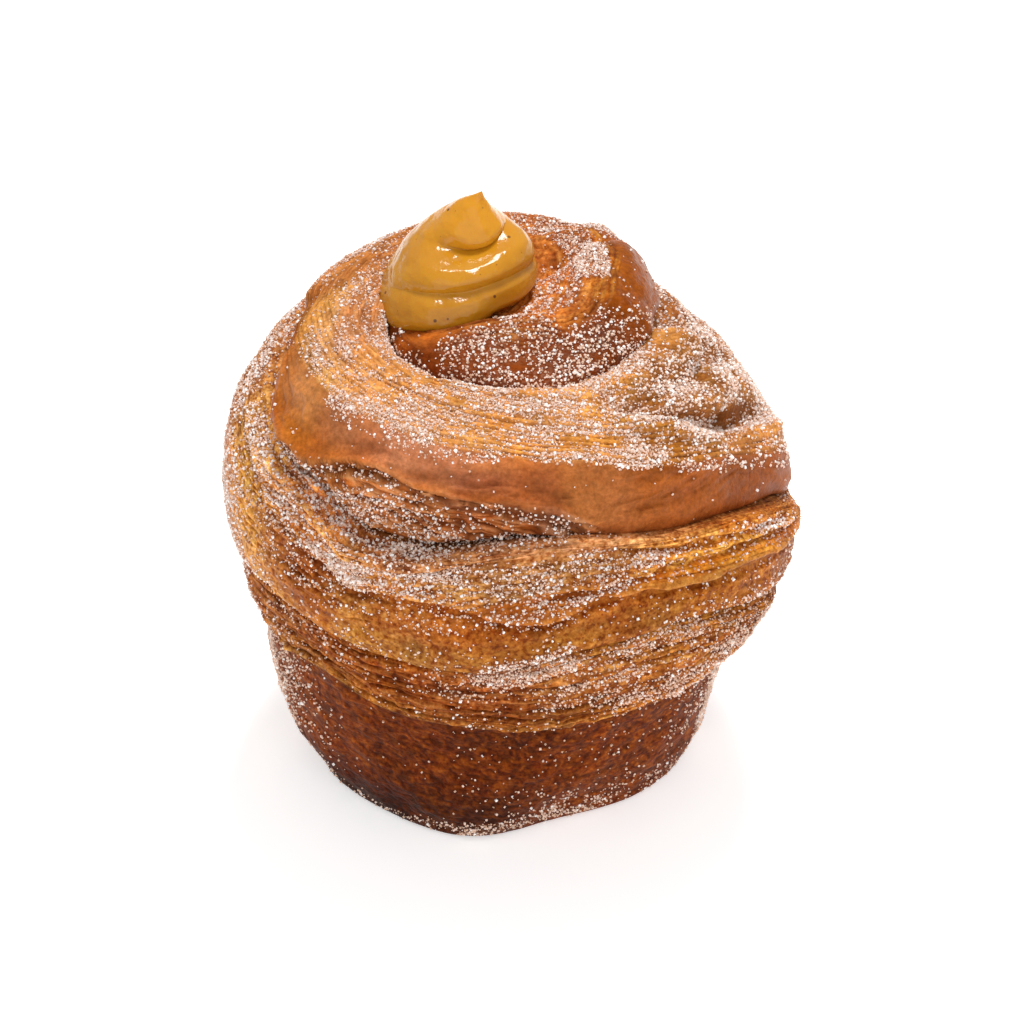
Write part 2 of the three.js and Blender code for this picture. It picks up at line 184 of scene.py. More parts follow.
# ------------------------------------------------------------------ the spiral: place along the meridian (mm) against the unwound angle
CREASE = [(120, 0.0), (165, 7.5), (200, 15.2), (222, 18.6), (243, 21.6), (261, 22.7), (282, 23.9), (295, 25.4), (318, 25.8), (335, 26.6), (357, 28.4), (374, 30.4), (410, 32.2), (460, 33.8), (500, 35.5), (521, 36.8), (533, 37.0), (541, 38.4), (549, 40.1), (556, 42.4), (563, 45.0), (571, 46.2), (579, 46.9), (587, 48.4), (593, 50.3), (601, 51.8), (611, 51.8), (625, 50.4), (637, 49.0), (645, 49.2), (657, 50.6), (668, 52.6), (684, 55.4), (695, 58.2), (706, 61.6), (718, 67.5), (745, 71.5), (800, 73.5), (860, 74.5), (915, 74.6), (931, 73.2), (954, 73.2), (966, 72.6), (982, 72.8), (994, 71.3), (1004, 69.2), (1025, 68.8), (1034, 70.0), (1043, 72.2), (1055, 75.6), (1068, 79.0), (1110, 81.5), (1180, 84.0), (1262, 93)]
CREASE_DEPTH = [(120, 0), (165, 0.8), (200, 2.0), (235, 3.0), (270, 3.4), (330, 3.6), (366, 4.0), (400, 3.6), (450, 2.8), (535, 3.0), (566, 3.2), (600, 4.2), (625, 4.4), (650, 3.4), (690, 2.4), (720, 2.2), (800, 2.0), (900, 1.6), (930, 2.0), (960, 1.8), (990, 1.4), (1020, 1.0), (1060, 1.2), (1180, 0.8), (1230, 0), (1262, 0)]
TURN_STEP = [(120, 0), (170, 0.6), (230, 1.6), (300, 2.0), (366, 2.0), (400, 1.2), (450, 0.4), (500, 0.6), (535, 1.4), (566, 1.6), (610, 1.2), (650, 1.0), (700, 0.8), (800, 0.9), (930, 0.9), (990, 0.5), (1060, 0.4), (1200, 0), (1260, 0)]
SLOPE_ABOVE = [(120, 2), (230, 6), (300, 8), (330, 9), (366, 8), (450, 5), (535, 3.0), (556, 2.4), (571, 2.4), (579, 3.5), (587, 5.5), (595, 9), (601, 10.5), (611, 9.4), (622, 8), (632, 6), (641, 4.2), (653, 2.4), (700, 2.4), (800, 3.0), (930, 2.2), (1060, 2.2), (1262, 2)]
SLOPE_BELOW = [(120, 3), (270, 3.0), (340, 4.0), (380, 6.0), (450, 5.0), (535, 5), (560, 6), (575, 5.5), (591, 4.2), (600, 3.6), (612, 2.6), (625, 1.6), (640, 1.2), (665, 1.2), (690, 2), (720, 3), (800, 4), (930, 2.4), (1262, 2)]
OVERHANG = [(120, 0), (230, 0.5), (300, 0.8), (366, 0.8), (535, 1.2), (566, 1.4), (585, 0.6), (610, 0.2), (640, 0.9), (665, 1.5), (700, 1.2), (760, 1.2), (900, 1.4), (940, 1.5), (975, 1.2), (990, 0.6), (1060, 0.5), (1200, 0), (1260, 0)]
# these three are measured from the crease on the outer side of their turn
INNER_CREST = [(150, 10), (200, 15), (236, 17.0), (255, 15.6), (281, 14.0), (301, 15.2), (315, 18.6), (336, 18.7), (357, 18.4), (382, 20.8), (400, 23.5), (440, 26)]
SHOULDER = [(470, 32), (532, 34.5), (557, 34.2), (596, 34.4), (614, 35.3), (630, 36.2), (641, 37.5), (651, 38.6), (661, 41.0), (676, 44.2), (688, 47.7), (700, 53), (712, 58), (730, 64)]
TORN_EDGE = [(560, 43.5), (572, 44.2), (578, 44.5), (584, 43.9), (589, 42.6), (595, 41.4), (601, 41.0), (611, 42.4), (622, 43.1), (632, 43.6), (641, 44.9), (653, 48.6)]
THIRD_CREST = [(575, 51.0), (591, 53.4), (597, 55.2), (607, 55.0), (613, 54.1), (619, 52.9), (625, 51.7), (632, 50.7), (641, 50.2), (648, 50.6), (656, 51.9), (665, 53.6), (673, 55.2), (690, 59), (718, 70)]
LOWER_EDGE = [(575, 55), (593, 58.8), (598, 60.5), (607, 59.7), (615, 59.4), (627, 61.3), (638, 62.3), (645, 60.8), (652, 59.6), (662, 60.7), (675, 63.0), (690, 66.0), (712, 71)]
UPPER_EDGE = [(640, 58.2), (649, 57.9), (659, 57.6), (666, 57.7), (673, 58.9), (682, 60.5), (692, 62.6), (701, 65.4), (714, 69)]
HOLLOW = [(300, 27.5), (313, 31.0), (322, 33.2), (334, 35.5), (345, 37.5), (356, 39.5), (368, 42), (400, 44)]
HOLLOW_CREST = [(300, 30.5), (307, 32.5), (315, 35.2), (324, 37.2), (336, 39.5), (346, 41.5), (356, 43.5), (366, 45), (400, 46)]
FOLD_ANGLE = 32


def skirt(th):
    w = wrap(th - 285)
    return 85.4 + 1.4 * bell(w, 60) - 3.2 * bell(wrap(th - 229), 14) + 2.0 * bell(wrap(th - 200), 12) + 1.6 * bell(wrap(th - 325), 14) + 0.7 * np.cos(np.radians(9 * th + 20)) * bell(w, 60) + 0.5 * np.cos(np.radians(3 * th + 60))


def crease(ph):
    return np.minimum(np.where(ph <= CREASE[0][0], 0.0, curve(CREASE, ph)), skirt(ph))


def ridges(ph, v):
    def sheet(table, height, rise, drop, fi, fo, a, b, up=0):
        x = v - curve(table, ph + up)
        on = smooth(a, a + fi, ph + up) * smooth(b, b - fo, ph + up)
        return height * on * np.where(x < 0, np.exp(np.minimum(x, 0) / rise), 1 - smooth(0, drop, x))

    def ridge(table, height, width, fi, fo, a, b, up=0):
        return height * smooth(a, a + fi, ph + up) * smooth(b, b - fo, ph + up) * bell(v - curve(table, ph + up), width)

    h = ridge(INNER_CREST, 1.7, 3.6, 40, 44, 190, 416, 360)
    h = h + ridge(SHOULDER, 1.3, 3.6, 40, 20, 470, 730, 360)
    h = h + sheet(TORN_EDGE, 1.3, 3.0, 1.6, 12, 10, 562, 650, 360)
    h = h + ridge(THIRD_CREST, 1.3, 2.0, 14, 16, 580, 722) + ridge(THIRD_CREST, 0.8, 4.5, 14, 16, 580, 722)
    h = h + sheet(LOWER_EDGE, 1.0, 2.4, 1.2, 10, 14, 600, 725) + sheet(UPPER_EDGE, 0.9, 2.0, 1.0, 10, 10, 645, 712)
    h = h + ridge(HOLLOW, -1.8, 3.0, 20, 24, 296, 392) + ridge(HOLLOW, -1.6, 3.0, 14, 16, 338, 376)
    h = h + ridge(HOLLOW_CREST, 1.0, 2.0, 20, 30, 300, 396)
    return h - 1.5 * bell(FOLD_ANGLE - ph + 1.2 * (v - 20), 6) * smooth(9, 15, v) * smooth(33, 24, v)


def turn(ph, s):
    """A point of the strip: ph the unwound angle, s 0 to 1 from its inner crease to its outer one."""
    th = ph % 360
    vi, vo = crease(ph), crease(ph + 360)
    v = vi + (vo - vi) * s
    w = np.maximum(vo - vi, 1e-6)
    a, b = s * w, (1 - s) * w
    open_in, open_out = smooth(0, 3, skirt(th) - vi), smooth(0, 3, skirt(th) - vo)
    deep_in = curve(CREASE_DEPTH, ph) * open_in * (ph > 120)
    deep_out = curve(CREASE_DEPTH, ph + 360) * open_out
    step = curve(TURN_STEP, ph + 360) * open_out
    wide_in = np.minimum(curve(SLOPE_BELOW, ph), 0.42 * w)
    wide_out = np.minimum(curve(SLOPE_ABOVE, ph + 360), 0.52 * w)
    x = np.clip(b / wide_out, 0, 1)
    fall = (1 - np.sqrt(np.maximum(1 - (1 - x) ** 2, 0))) * 0.55 + 0.45 * (1 - x) ** 1.5 * (1 - smooth(0.6, 1, x))
    climb = (1 - np.clip(a / wide_in, 0, 1)) ** 1.7
    dn = step * smooth(0, 1, s) - (deep_out + step) * fall - deep_in * climb
    dn = dn + 0.8 * (4 * s * (1 - s)) * smooth(6, 26, w)
    dn = dn + ridges(ph, v) * smooth(0, 0.10, s) * smooth(0, 0.10, 1 - s)
    dt = curve(OVERHANG, ph + 360) * open_out * (np.clip(x / 0.18, 0, 1) * (1 - smooth(0.18, 1, x)))
    p, tv, n = envelope_frame(th, v)
    return p + n * dn[..., None] + tv * dt[..., None], v, a, b, vi, vo


# ------------------------------------------------------------------ the base
BASE_FOOT, BASE_RIM, BASE_TOP, CORNER = 31.1, 39.4, 30.0, 2.2


def base_radius(th, z):
    r = BASE_FOOT + (BASE_RIM - BASE_FOOT) * np.clip(z / BASE_TOP, 0, 1.2) ** 0.72
    return r + 1.1 * bell(wrap(th - 258), 17) * smooth(26, 0, z) - 2.7 * bell(wrap(th - 290), 20) * smooth(16, 0, z) + 0.9 * bell(wrap(th - 345), 30) + 1.6 * bell(wrap(th - 203), 26) * smooth(2, 10, z) * smooth(34, 20, z) - 1.7 * bell(wrap(th - 268), 48) * smooth(6, 22, z) + 0.3 * np.cos(np.radians(2 * (th - 15))) + 0.22 * np.cos(np.radians(5 * th + 60))


def base_point(th, u, edge):
    """From the skirt's edge under the crown, down the wall and round the corner to the middle of the underside."""
    er, ez = np.hypot(edge[..., 0], edge[..., 1]), edge[..., 2]
    u1, u2, u3 = 0.14, 0.72, 0.82
    z1 = ez + 0.8
    r1 = np.minimum(base_radius(th, z1 - 1.5), er - 2.6 + 2.0 * bell(wrap(th - 198), 18))
    k = np.clip(u / u1, 0, 1)
    ra, za = er + (r1 - er) * k, ez + (z1 - ez) * np.sin(np.pi * 0.5 * k)
    k2 = np.clip((u - u1) / (u2 - u1), 0, 1)
    zb = z1 + (CORNER - z1) * k2
    rb = base_radius(th, zb) + (r1 - base_radius(th, z1)) * (1 - k2) ** 3
    k3 = np.clip((u - u2) / (u3 - u2), 0, 1) * np.pi / 2
    rc, zc = base_radius(th, CORNER) - CORNER * (1 - np.cos(k3)), CORNER * (1 - np.sin(k3))
    k4 = np.clip((u - u3) / (1 - u3), 0, 1)
    rd = (base_radius(th, CORNER) - CORNER) * (1 - k4)
    r = np.where(u < u1, ra, np.where(u < u2, rb, np.where(u < u3, rc, rd)))
    z = np.where(u < u1, za, np.where(u < u2, zb, np.where(u < u3, zc, 0 * rd)))
    t = np.radians(th)
    turn_in = (np.arctan2(edge[..., 1], edge[..., 0]) - t + np.pi) % (2 * np.pi) - np.pi
    t = t + turn_in * (1 - np.clip(u / 0.6, 0, 1))
    return np.stack([r * np.cos(t), r * np.sin(t), z], -1)


# ------------------------------------------------------------------ dough: grid of the strip and of the base
FINE, COARSE, ACROSS, DOWN = 0.75, 1.5, 176, 110
one_turn = np.r_[np.linspace(120, 180, 38, endpoint=False), np.linspace(180, 360, int(180 / FINE), endpoint=False), np.linspace(360, 480, int(120 / COARSE), endpoint=False)]
PER_TURN = len(one_turn)
phi = np.concatenate([one_turn + 360 * k for k in (-1, 0, 1, 2, 3)])
phi = phi[phi <= 1260 + 1e-6]
ROWS, COLS = len(phi), ACROSS + 1
lin = np.linspace(0, 1, COLS)
sv = 0.5 * lin + 0.5 * (0.5 - 0.5 * np.cos(np.pi * lin))
PH, S = np.meshgrid(phi, sv, indexing="ij")
P, V, A, B, VI, VO = turn(PH, S)
idx = np.arange(ROWS * COLS).reshape(ROWS, COLS)
count = ROWS * COLS
merge = np.arange(count)
for i in range(ROWS - PER_TURN):
    merge[idx[i, -1]] = idx[i + PER_TURN, 0]
quads = np.stack([idx[:-1, :-1], idx[:-1, 1:], idx[1:, 1:], idx[1:, :-1]], -1).reshape(-1, 4)
first = ROWS - 1 - PER_TURN
edge = P[first:, -1]
down = np.linspace(0, 1, DOWN + 1)
down = np.where(down < 0.9, down / 0.9 * 0.84, 0.84 + (down - 0.9) / 0.1 * 0.16)
TH, U = np.meshgrid(phi[first:-1] % 360, down[1:], indexing="ij")
Q = base_point(TH, U, np.repeat(edge[:-1][:, None, :], DOWN, axis=1))
bidx = count + np.arange(PER_TURN * DOWN).reshape(PER_TURN, DOWN)
merge = np.r_[merge, np.arange(count, count + PER_TURN * DOWN)]
ring = np.hstack([idx[first:-1, -1][:, None], bidx])
ring = np.vstack([ring, ring[:1]])
base_quads = np.stack([ring[:-1, :-1], ring[:-1, 1:], ring[1:, 1:], ring[1:, :-1]], -1).reshape(-1, 4)
merge[idx[-1, :]] = idx[-1, 0]
merge[idx[-1 - PER_TURN, -1]] = idx[-1, 0]
merge[idx[0, :]] = idx[0, 0]
for i in range(ROWS):
    if phi[i] <= 120:
        merge[idx[i, 0]] = idx[0, 0]
merge[bidx[:, -1]] = bidx[0, -1]
for _ in range(6):
    merge = merge[merge]
points = np.vstack([P.reshape(-1, 3), Q.reshape(-1, 3)])
all_quads = np.vstack([quads, base_quads])
mq = merge[all_quads]


def vertex_normals(pts):
    n = np.zeros_like(pts)
    for tri in ((0, 1, 2), (0, 2, 3)):
        c = mq[:, tri]
        f = np.cross(pts[c[:, 1]] - pts[c[:, 0]], pts[c[:, 2]] - pts[c[:, 0]])
        for k in range(3):
            for j in range(3):
                n[:, j] += np.bincount(c[:, k], f[:, j], len(pts))
    n /= np.linalg.norm(n, axis=1, keepdims=True) + 1e-12
    return n[merge]


normals = vertex_normals(points)

# distance along the strip, and a distance across it whose contours run beside the named lines
mean_r = radius_at((crease(phi) + crease(phi + 360)) / 2)
run = np.r_[0, np.cumsum(np.radians(np.diff(phi)) * (mean_r[1:] + mean_r[:-1]) / 2)]
RUN = np.repeat(run[:, None], COLS, axis=1)


# ------------------------------------------------------------------ helpers of the leaves
def leaves(phase, along, seed, round_=3.0, wild=0.6):
    """Leaf edges side by side, one a unit of phase, each at its own level: height 0 to 1, a painted highlight along its
    edge and painted shade in the slit beside it.
    """
    k = np.floor(phase)
    r = phase - k
    level = noise(along * 0.5, k * 1.37 + 0.5, seed=seed)
    deep = np.clip(0.35 + 0.9 * noise(along, k * 2.11 + 0.5, seed=seed + 1), 0.0, 1.0)
    edge_ = np.abs(2 * r - 1) ** round_
    h = 0.5 + 0.5 * wild * level - (0.35 + 0.65 * deep) * edge_
    return h, bell(r - 0.28, 0.16) * (0.45 + 0.55 * np.clip(level + 0.4, 0, 1)), deep * smooth(0.30, 0.0, np.minimum(r, 1 - r))


def lip(x, rise, drop):
    """A sheet's free edge at x = 0: it swells up to it over rise and falls within drop. Height, a painted highlight
    along the edge and the painted shade under it.
    """
    return np.where(x < 0, np.exp(np.minimum(x, 0) / rise), 1 - smooth(0, drop, x)), bell(x + 0.30, 0.34), bell(x - drop - 0.25, 0.55) * (x > -0.1)


# ------------------------------------------------------------------ zones of the strip, each 0 to 1
X, Y, Z = P[..., 0], P[..., 1], P[..., 2]
W = VO - VI
shoulder_on = window(PH, 112, 24, 366, 26)
SPLIT = [(-240, 0.75), (60, 0.78), (112, 0.72), (140, 0.62), (366, 0.86), (420, 0.62), (480, 0.50), (560, 0.44), (640, 0.42), (722, 0.40), (800, 0.44), (870, 0.40), (900, 0.2), (1260, 0.2)]
split = lerp(VI + W * curve(SPLIT, PH), curve(SHOULDER, PH + 360), shoulder_on)
X_SH = V - split  # below 0 on the flaky top of a turn, above 0 on its smooth face
bottom = smooth(886, 930, PH)  # the last turn, cut across its layers
inner = 1 - smooth(96, 150, PH)  # the inner coil
second = smooth(96, 150, PH) * (1 - smooth(392, 440, PH))
back = window(PH, 420, 30, 530, 30)
third = smooth(536, 580, PH) * (1 - smooth(716, 770, PH))
back2 = smooth(716, 770, PH) * (1 - bottom)
flaky = (1 - smooth(-0.5, 0.6, X_SH)) * (1 - bottom)
x_crest = V - curve(THIRD_CREST, PH)
third_on = window(PH, 575, 20, 712, 20)
x_low = V - curve(LOWER_EDGE, PH)
x_torn = V - curve(TORN_EDGE, PH + 360)
torn_on = window(PH + 360, 566, 10, 645, 12)
hollow = third_on * (1 - smooth(-2.2, -0.4, x_crest)) * (1 - smooth(640, 668, PH))
x_coil = V - curve(INNER_CREST, PH + 360)
coil_face = window(PH + 360, 196, 30, 400, 30) * smooth(0.4, 3.0, x_coil) * inner
belly = third_on * smooth(0.2, 2.0, x_low) + (1 - third_on) * third * (1 - flaky)


# Q: across the strip, in about mm, fixed on both creases and on each named line, so that what is drawn in it keeps to them
def held(table, a, fa, b, fb, share, up=0):
    on = window(phi + up, a, fa, b, fb)
    vi, vo = crease(phi), crease(phi + 360)
    return lerp(vi + (vo - vi) * share, curve(table, phi + up), on)


_turn = np.clip(np.floor((phi - 120) / 360), -1, 2)
_q_first = np.where(_turn < 0, held(INNER_CREST, 220, 30, 400, 40, 0.5, 360), np.where(_turn < 1, held(SHOULDER, 490, 30, 715, 20, 0.62, 360), np.where(_turn < 2, held(THIRD_CREST, 585, 14, 712, 14, 0.28), 0)))
_q_next = np.where(_turn < 1, held(TORN_EDGE, 568, 12, 642, 12, 0.86, 360), np.where(_turn < 2, held(LOWER_EDGE, 602, 14, 712, 14, 0.52), 0))
QQ = np.empty_like(PH)
for i in range(ROWS):
    vi, vo = VI[i, 0], VO[i, 0]
    span = vo - vi
    if _turn[i] == 2:
        xs, qs = [vi, vo], [0, 14]
    elif _turn[i] < 0:
        xs, qs = [vi, np.clip(_q_first[i], vi + 0.2 * span, vo - 0.2 * span), vo], [0, 11, 22]
    else:
        m1 = np.clip(_q_first[i], vi + 0.12 * span, vi + 0.8 * span)
        m2 = np.clip(_q_next[i], m1 + 0.1 * span, vo - 0.02 * span)
        xs, qs = [vi, m1, m2, vo], [0, 16, 23, 27] if _turn[i] == 0 else [0, 8, 15, 31]
    QQ[i] = np.interp(V[i], xs, qs)

seam = np.minimum(smooth(0, 1.4, A), smooth(0, 1.4, B))
QW = QQ + 0.5 * noise(RUN / 24, QQ / 6, seed=12)

relief = np.zeros_like(PH)
rim_highlight_paint = np.zeros_like(PH)  # painted highlight on the edges of leaves
gap_shade_paint = np.zeros_like(PH)  # painted shade in the slits beside them


# adds relief, and keeps the painted highlight r and the painted shade g of each layer of detail
def add(mask, height, h, r=0, g=0, rk=1.0, gk=1.0):
    global relief, rim_highlight_paint, gap_shade_paint
    relief = relief + mask * height * (h - 0.5)
    rim_highlight_paint = np.maximum(rim_highlight_paint, mask * r * rk)
    gap_shade_paint = np.maximum(gap_shade_paint, mask * g * gk)


# flaky top of the second turn: fine edges side by side, clearest beside the shoulder, torn further in
by_shoulder = shoulder_on * flaky * smooth(-13, -5, X_SH)
phase = X_SH / 0.86 + 0.55 * noise(RUN / 34, QQ / 5, seed=23) + 0.18 * noise(RUN / 8, QQ / 1.6, seed=24)
h, r, g = leaves(phase, RUN / 9, 22)
add(flaky * shoulder_on * (0.45 + 0.55 * by_shoulder), 0.60, h, r, g, 1.0, 1.0)
h, r, g = leaves(QW / 0.95 + 0.3 * noise(RUN / 9, QQ / 2, seed=26), RUN / 8, 28)
add(flaky * (1 - shoulder_on) * (1 - hollow), 0.42, h, r, g, 0.8, 0.8)
leaf = fbm(RUN / 17, QW / 2.3, seed=21, octaves=3, gain=0.55)
h, r, g = terraces(leaf, 5, 0.10)
wide_flaky = flaky * (1 - 0.5 * hollow)
add(wide_flaky * (1 - 0.55 * by_shoulder), 1.25, h, r, g, 0.8, 0.8)
# smooth faces: long low wrinkles and blisters
face = (1 - flaky) * (1 - bottom)
skew = QQ + 0.16 * RUN
wr = fbm(RUN / 8, skew / 2.0, seed=31, octaves=3, gain=0.5)
on_face2 = face * second * (1 - smooth(285, 330, PH) * 0.55)
add(on_face2, 0.75, 1 - 1.5 * np.abs(wr) ** 0.8)
add(face * (1 - second) * (1 - 0.5 * belly), 0.36, wr * 0.5 + 0.5)
bump = fbm(X / 1.5, Y / 1.5, Z / 1.5, seed=33, octaves=2)
add(face, 0.14, bump * 0.5 + 0.5)
h, r, g = leaves(QW / 2.9 + 0.9 * noise(RUN / 16, QQ / 4, seed=35), RUN / 12, 34, 10.0, 0.5)
add(belly, 0.12, h, r, g, 0.15, 0.15)
add(belly, 0.6, 0.5 + 0.8 * fbm(X / 2.4, Y / 2.4, Z / 1.8, seed=37, octaves=3))
wr2 = fbm(RUN / 14, QW / 3.6, seed=36, octaves=2)
add(belly, 0.7, wr2 * 0.5 + 0.5)
# torn leaves under the lower edge of the smooth face, one behind another
ragged = 0.30 * noise(RUN / 2.2, x_torn / 1.2, seed=40) + 0.75 * noise(RUN / 12, x_torn / 6, seed=41)
torn = torn_on * window(x_torn, 0.1, 0.5, 8.5, 1.6)
h, r, g = leaves((x_torn + 0.4) / 1.45 + 1.3 * ragged, RUN / 4, 42, 3.0, 0.9)
add(torn, 1.5, h, r, g, 1.0, 1.0)
h, r, g = terraces(fbm(RUN / 7, x_torn / 1.1, seed=45, octaves=3), 5, 0.12)
add(torn, 0.9, h, r, g, 0.8, 0.9)
add(torn, 0.9, 0.5 + 0.9 * fbm(X / 2.4, Y / 2.4, Z / 1.8, seed=38, octaves=2))
h, r, g = lip(x_torn + 0.35 * noise(RUN / 3, 0.0, seed=39), 2.2, 0.45)
add(torn_on * window(x_torn, -3, 2, 1.2, 0.6), 0.8, h, r, g, 0.8, 1.0)
# the torn hollow of the third turn, and the ridge under it with a thin groove on its lower side
rg = 1 - np.abs(fbm(X / 3.6, Y / 3.6, Z / 2.8, seed=43, octaves=3))
add(hollow, 2.4, rg - 0.35)
h, r, g = terraces(fbm(RUN / 7, QQ / 1.3, seed=44, octaves=2), 5, 0.14)
add(hollow, 1.0, h, r, g, 0.8, 1.0)
ridge_on = third_on * (1 - smooth(690, 712, PH))
wander = 0.35 * noise(RUN / 7, 0.0, seed=48)
add(ridge_on, 0.9, 0.5 + bell(x_crest + wander, 1.25) - 0.55 * bell(x_crest - 1.9 + wander, 0.42), 0, bell(x_crest - 1.9 + wander, 0.5), 0, 0.75)
add(ridge_on, 0.35, 0.5 - 0.8 * bell(x_crest - 0.3 + 0.8 * wander, 0.28), 0, bell(x_crest - 0.3 + 0.8 * wander, 0.35), 0, 0.35)
h, r, g = leaves(x_crest / 1.15 + 0.5 * noise(RUN / 13, QQ / 3, seed=49), RUN / 7, 50)
add(ridge_on * window(x_crest, 1.8, 0.8, 9, 3) * (1 - smooth(-0.4, 0.2, x_low)), 0.55, h, r, g, 0.9, 0.9)
low_on = window(PH, 590, 14, 706, 12)
up_on = window(PH, 643, 8, 704, 10)
h, r, g = lip(x_low + 0.3 * noise(RUN / 4, 0.0, seed=54), 2.6, 0.4)
add(low_on * window(x_low, -7, 4, 1.6, 1.0), 1.15, h, r, g, 1.0, 1.0)
x_up = V - curve(UPPER_EDGE, PH)
h, r, g = lip(x_up + 0.25 * noise(RUN / 4, 0.0, seed=55), 1.8, 0.4)
add(up_on * window(x_up, -4, 2, 1.3, 0.6), 1.05, h, r, g, 1.0, 1.0)
# left of the hollow: sheets that part from each other
fan = window(PH, 560, 16, 600, 10)
h, r, g = leaves(QW / 1.7 + 0.5 * noise(RUN / 10, QQ / 3, seed=56), RUN / 6, 57)
add(fan * (1 - smooth(0.62, 0.75, S)), 0.8, h, r, g, 0.9, 0.9)
# the inner coil's dark face
add(coil_face, 0.9, fbm(RUN / 7, QQ / 2.2, Z / 6, seed=46) * 0.5 + 0.5)
add(inner, 0.35, fbm(X / 2.2, Y / 2.2, Z / 2.2, seed=47) * 0.5 + 0.5)
h, r, g = leaves(QW / 1.3 + 0.4 * noise(RUN / 9, QQ / 2, seed=58), RUN / 6, 59)
add(inner * (1 - coil_face) * 0.6, 0.3, h, r, g, 0.5, 0.5)
# the last turn: a stack of leaves cut across
w_layers = np.maximum(VO - VI, 1.0)
stack = S * 7.5 + 0.75 * noise(RUN / 17, S * 3, seed=51) + 0.30 * noise(RUN / 5, S * 6, seed=52)
thick = smooth(2.0, 7.0, w_layers)
h, r, g = leaves(stack, RUN / 5, 60, 4.0, 0.8)
stack_on = bottom * smooth(0.5, 2.0, A) * thick
add(stack_on, 0.85, h, r, g, 1.0, 1.0)
h, r, g = terraces(fbm(RUN / 12, S * 7, seed=53, octaves=3), 5, 0.12)
add(bottom * thick, 0.8, h, r, g, 0.5, 0.7)
add(bottom * thick, 0.55, 0.5 + 0.9 * fbm(X / 2.0, Y / 2.0, Z / 1.5, seed=64, octaves=3))
add(bottom * smooth(0.84, 0.95, S), 1.0, 0.5 + 1.1 * fbm(RUN / 2.6, S * 5, seed=65, octaves=2))
# everywhere: unevenness of hand-made dough
relief += 0.5 * fbm(X / 13, Y / 13, Z / 13, seed=61, octaves=2) + 0.16 * fbm(X / 3.1, Y / 3.1, Z / 3.1, seed=62)
# on the right of the crown a groove parts an upper lump from the leaves below it
GROOVE = [(306, 31.0), (314, 33.6), (324, 38.0), (333, 42.8), (345, 48.2), (356, 52.6), (368, 57)]
x_groove = V - curve(GROOVE, PH)
groove_on = second * window(PH, 311, 9, 362, 10)
relief += groove_on * (1 + 0.6 * smooth(334, 350, PH)) * (-1.7 * bell(x_groove, 1.9) + 1.0 * bell(x_groove - 3.2, 1.5)) + 0.9 * second * window(PH, 328, 12, 368, 10) * bell(x_groove + 5.0, 2.8)
relief -= 2.4 * second * window(PH, 368, 12, 404, 16) * (1 - smooth(0.30, 0.55, S))
relief += 1.5 * inner * window(PH, -12, 16, 44, 18) * smooth(17.0, 21.5, V)
relief -= 1.3 * second * window(PH, 171, 7, 186, 8) * smooth(0.74, 0.88, S)
relief -= 2.8 * third * window(PH, 494, 14, 519, 7) * (1 - smooth(0.25, 0.45, S))
relief += 1.5 * third * window(PH, 531, 7, 548, 12) * (1 - smooth(0.30, 0.55, S))
relief *= seam
# the crease on the right of the inner coil is bridged
relief += 1.3 * (np.exp(-A / 1.3) * window(PH, 285, 14, 372, 14) + np.exp(-B / 1.3) * window(PH, -75, 14, 12, 14))

th_b, zb = TH, Q[..., 2]
xb, yb = Q[..., 0], Q[..., 1]
run_b = np.radians(TH) * 36
wall = window(zb, 2.5, 2.5, 40, 5)
leaf_b = fbm(run_b / 5.5 + zb / 20, (zb + 2.0 * np.sin(np.radians(TH * 2))) / 2.6, seed=71, octaves=3)
hb, rim_light_step_b, gap_shade_step_b = terraces(leaf_b, 6, 0.14)
relief_b = wall * 0.8 * (hb - 0.5) + 0.5 * fbm(xb / 6, yb / 6, zb / 6, seed=72) + 0.22 * fbm(xb / 1.9, yb / 1.9, zb / 1.9, seed=73)
under = smooth(0.02, 0.12, U) * (0.15 + 0.85 * smooth(0.2, 3.0, zb))
relief_b = relief_b * under
# the painted highlight and painted shade of the base's leaves
rim_highlight_b, gap_shade_b = wall * rim_light_step_b * 0.6, wall * gap_shade_step_b

height = np.r_[relief.ravel(), relief_b.ravel()]
height = height[merge]
points = points + normals * height[:, None]
# the inner coil gives way under the cream at the front left
dent = np.exp(-((points[:, 0] + 13.0) / 6.5) ** 2 - ((points[:, 1] + 7.5) / 5.5) ** 2) * smooth(80, 84, points[:, 2])
points[:, 2] -= 2.4 * dent
points[:, 2] = np.maximum(points[:, 2], 0.0)

# ------------------------------------------------------------------ tone: crust colours from how far each part browned
def rgb(r, g, b):
    c = np.array([r, g, b]) / 255.0
    return np.where(c <= 0.04045, c / 12.92, ((c + 0.055) / 1.055) ** 2.4)


TAN, PALE, PEACH = rgb(204, 142, 90), rgb(228, 176, 122), rgb(236, 170, 108)
AMBER, GOLDEN, BROWN = rgb(194, 112, 48), rgb(180, 109, 45), rgb(168, 88, 38)
ROSE_SHEEN, RUST, DEEP = rgb(208, 136, 92), rgb(158, 84, 36), rgb(122, 56, 21)
# the darkest brown is for painted shade only
DARK, PAINTED_SHADE = rgb(98, 44, 17), rgb(56, 22, 9)
BRIGHT, PINK, YELLOW = rgb(250, 196, 140), rgb(246, 184, 146), rgb(206, 140, 62)


def paint(col, other, t):
    return col + (other - col) * np.clip(t, 0, 1)[..., None]


col = np.broadcast_to(AMBER, PH.shape + (3,)).copy()
col = paint(col, TAN, flaky * 0.95)
col = paint(col, PEACH, flaky * second * 0.35 * bell(wrap(PH - 262), 40))
# smooth face of the second turn: amber, a painted rosy sheen in the middle, browner to the right
face2 = (1 - flaky) * second
col = paint(col, BROWN, face2 * smooth(262, 318, PH))
col = paint(col, ROSE_SHEEN, face2 * 0.9 * window(PH, 206, 22, 262, 24) * window(X_SH, -1.0, 1.0, 3.6, 4.0))
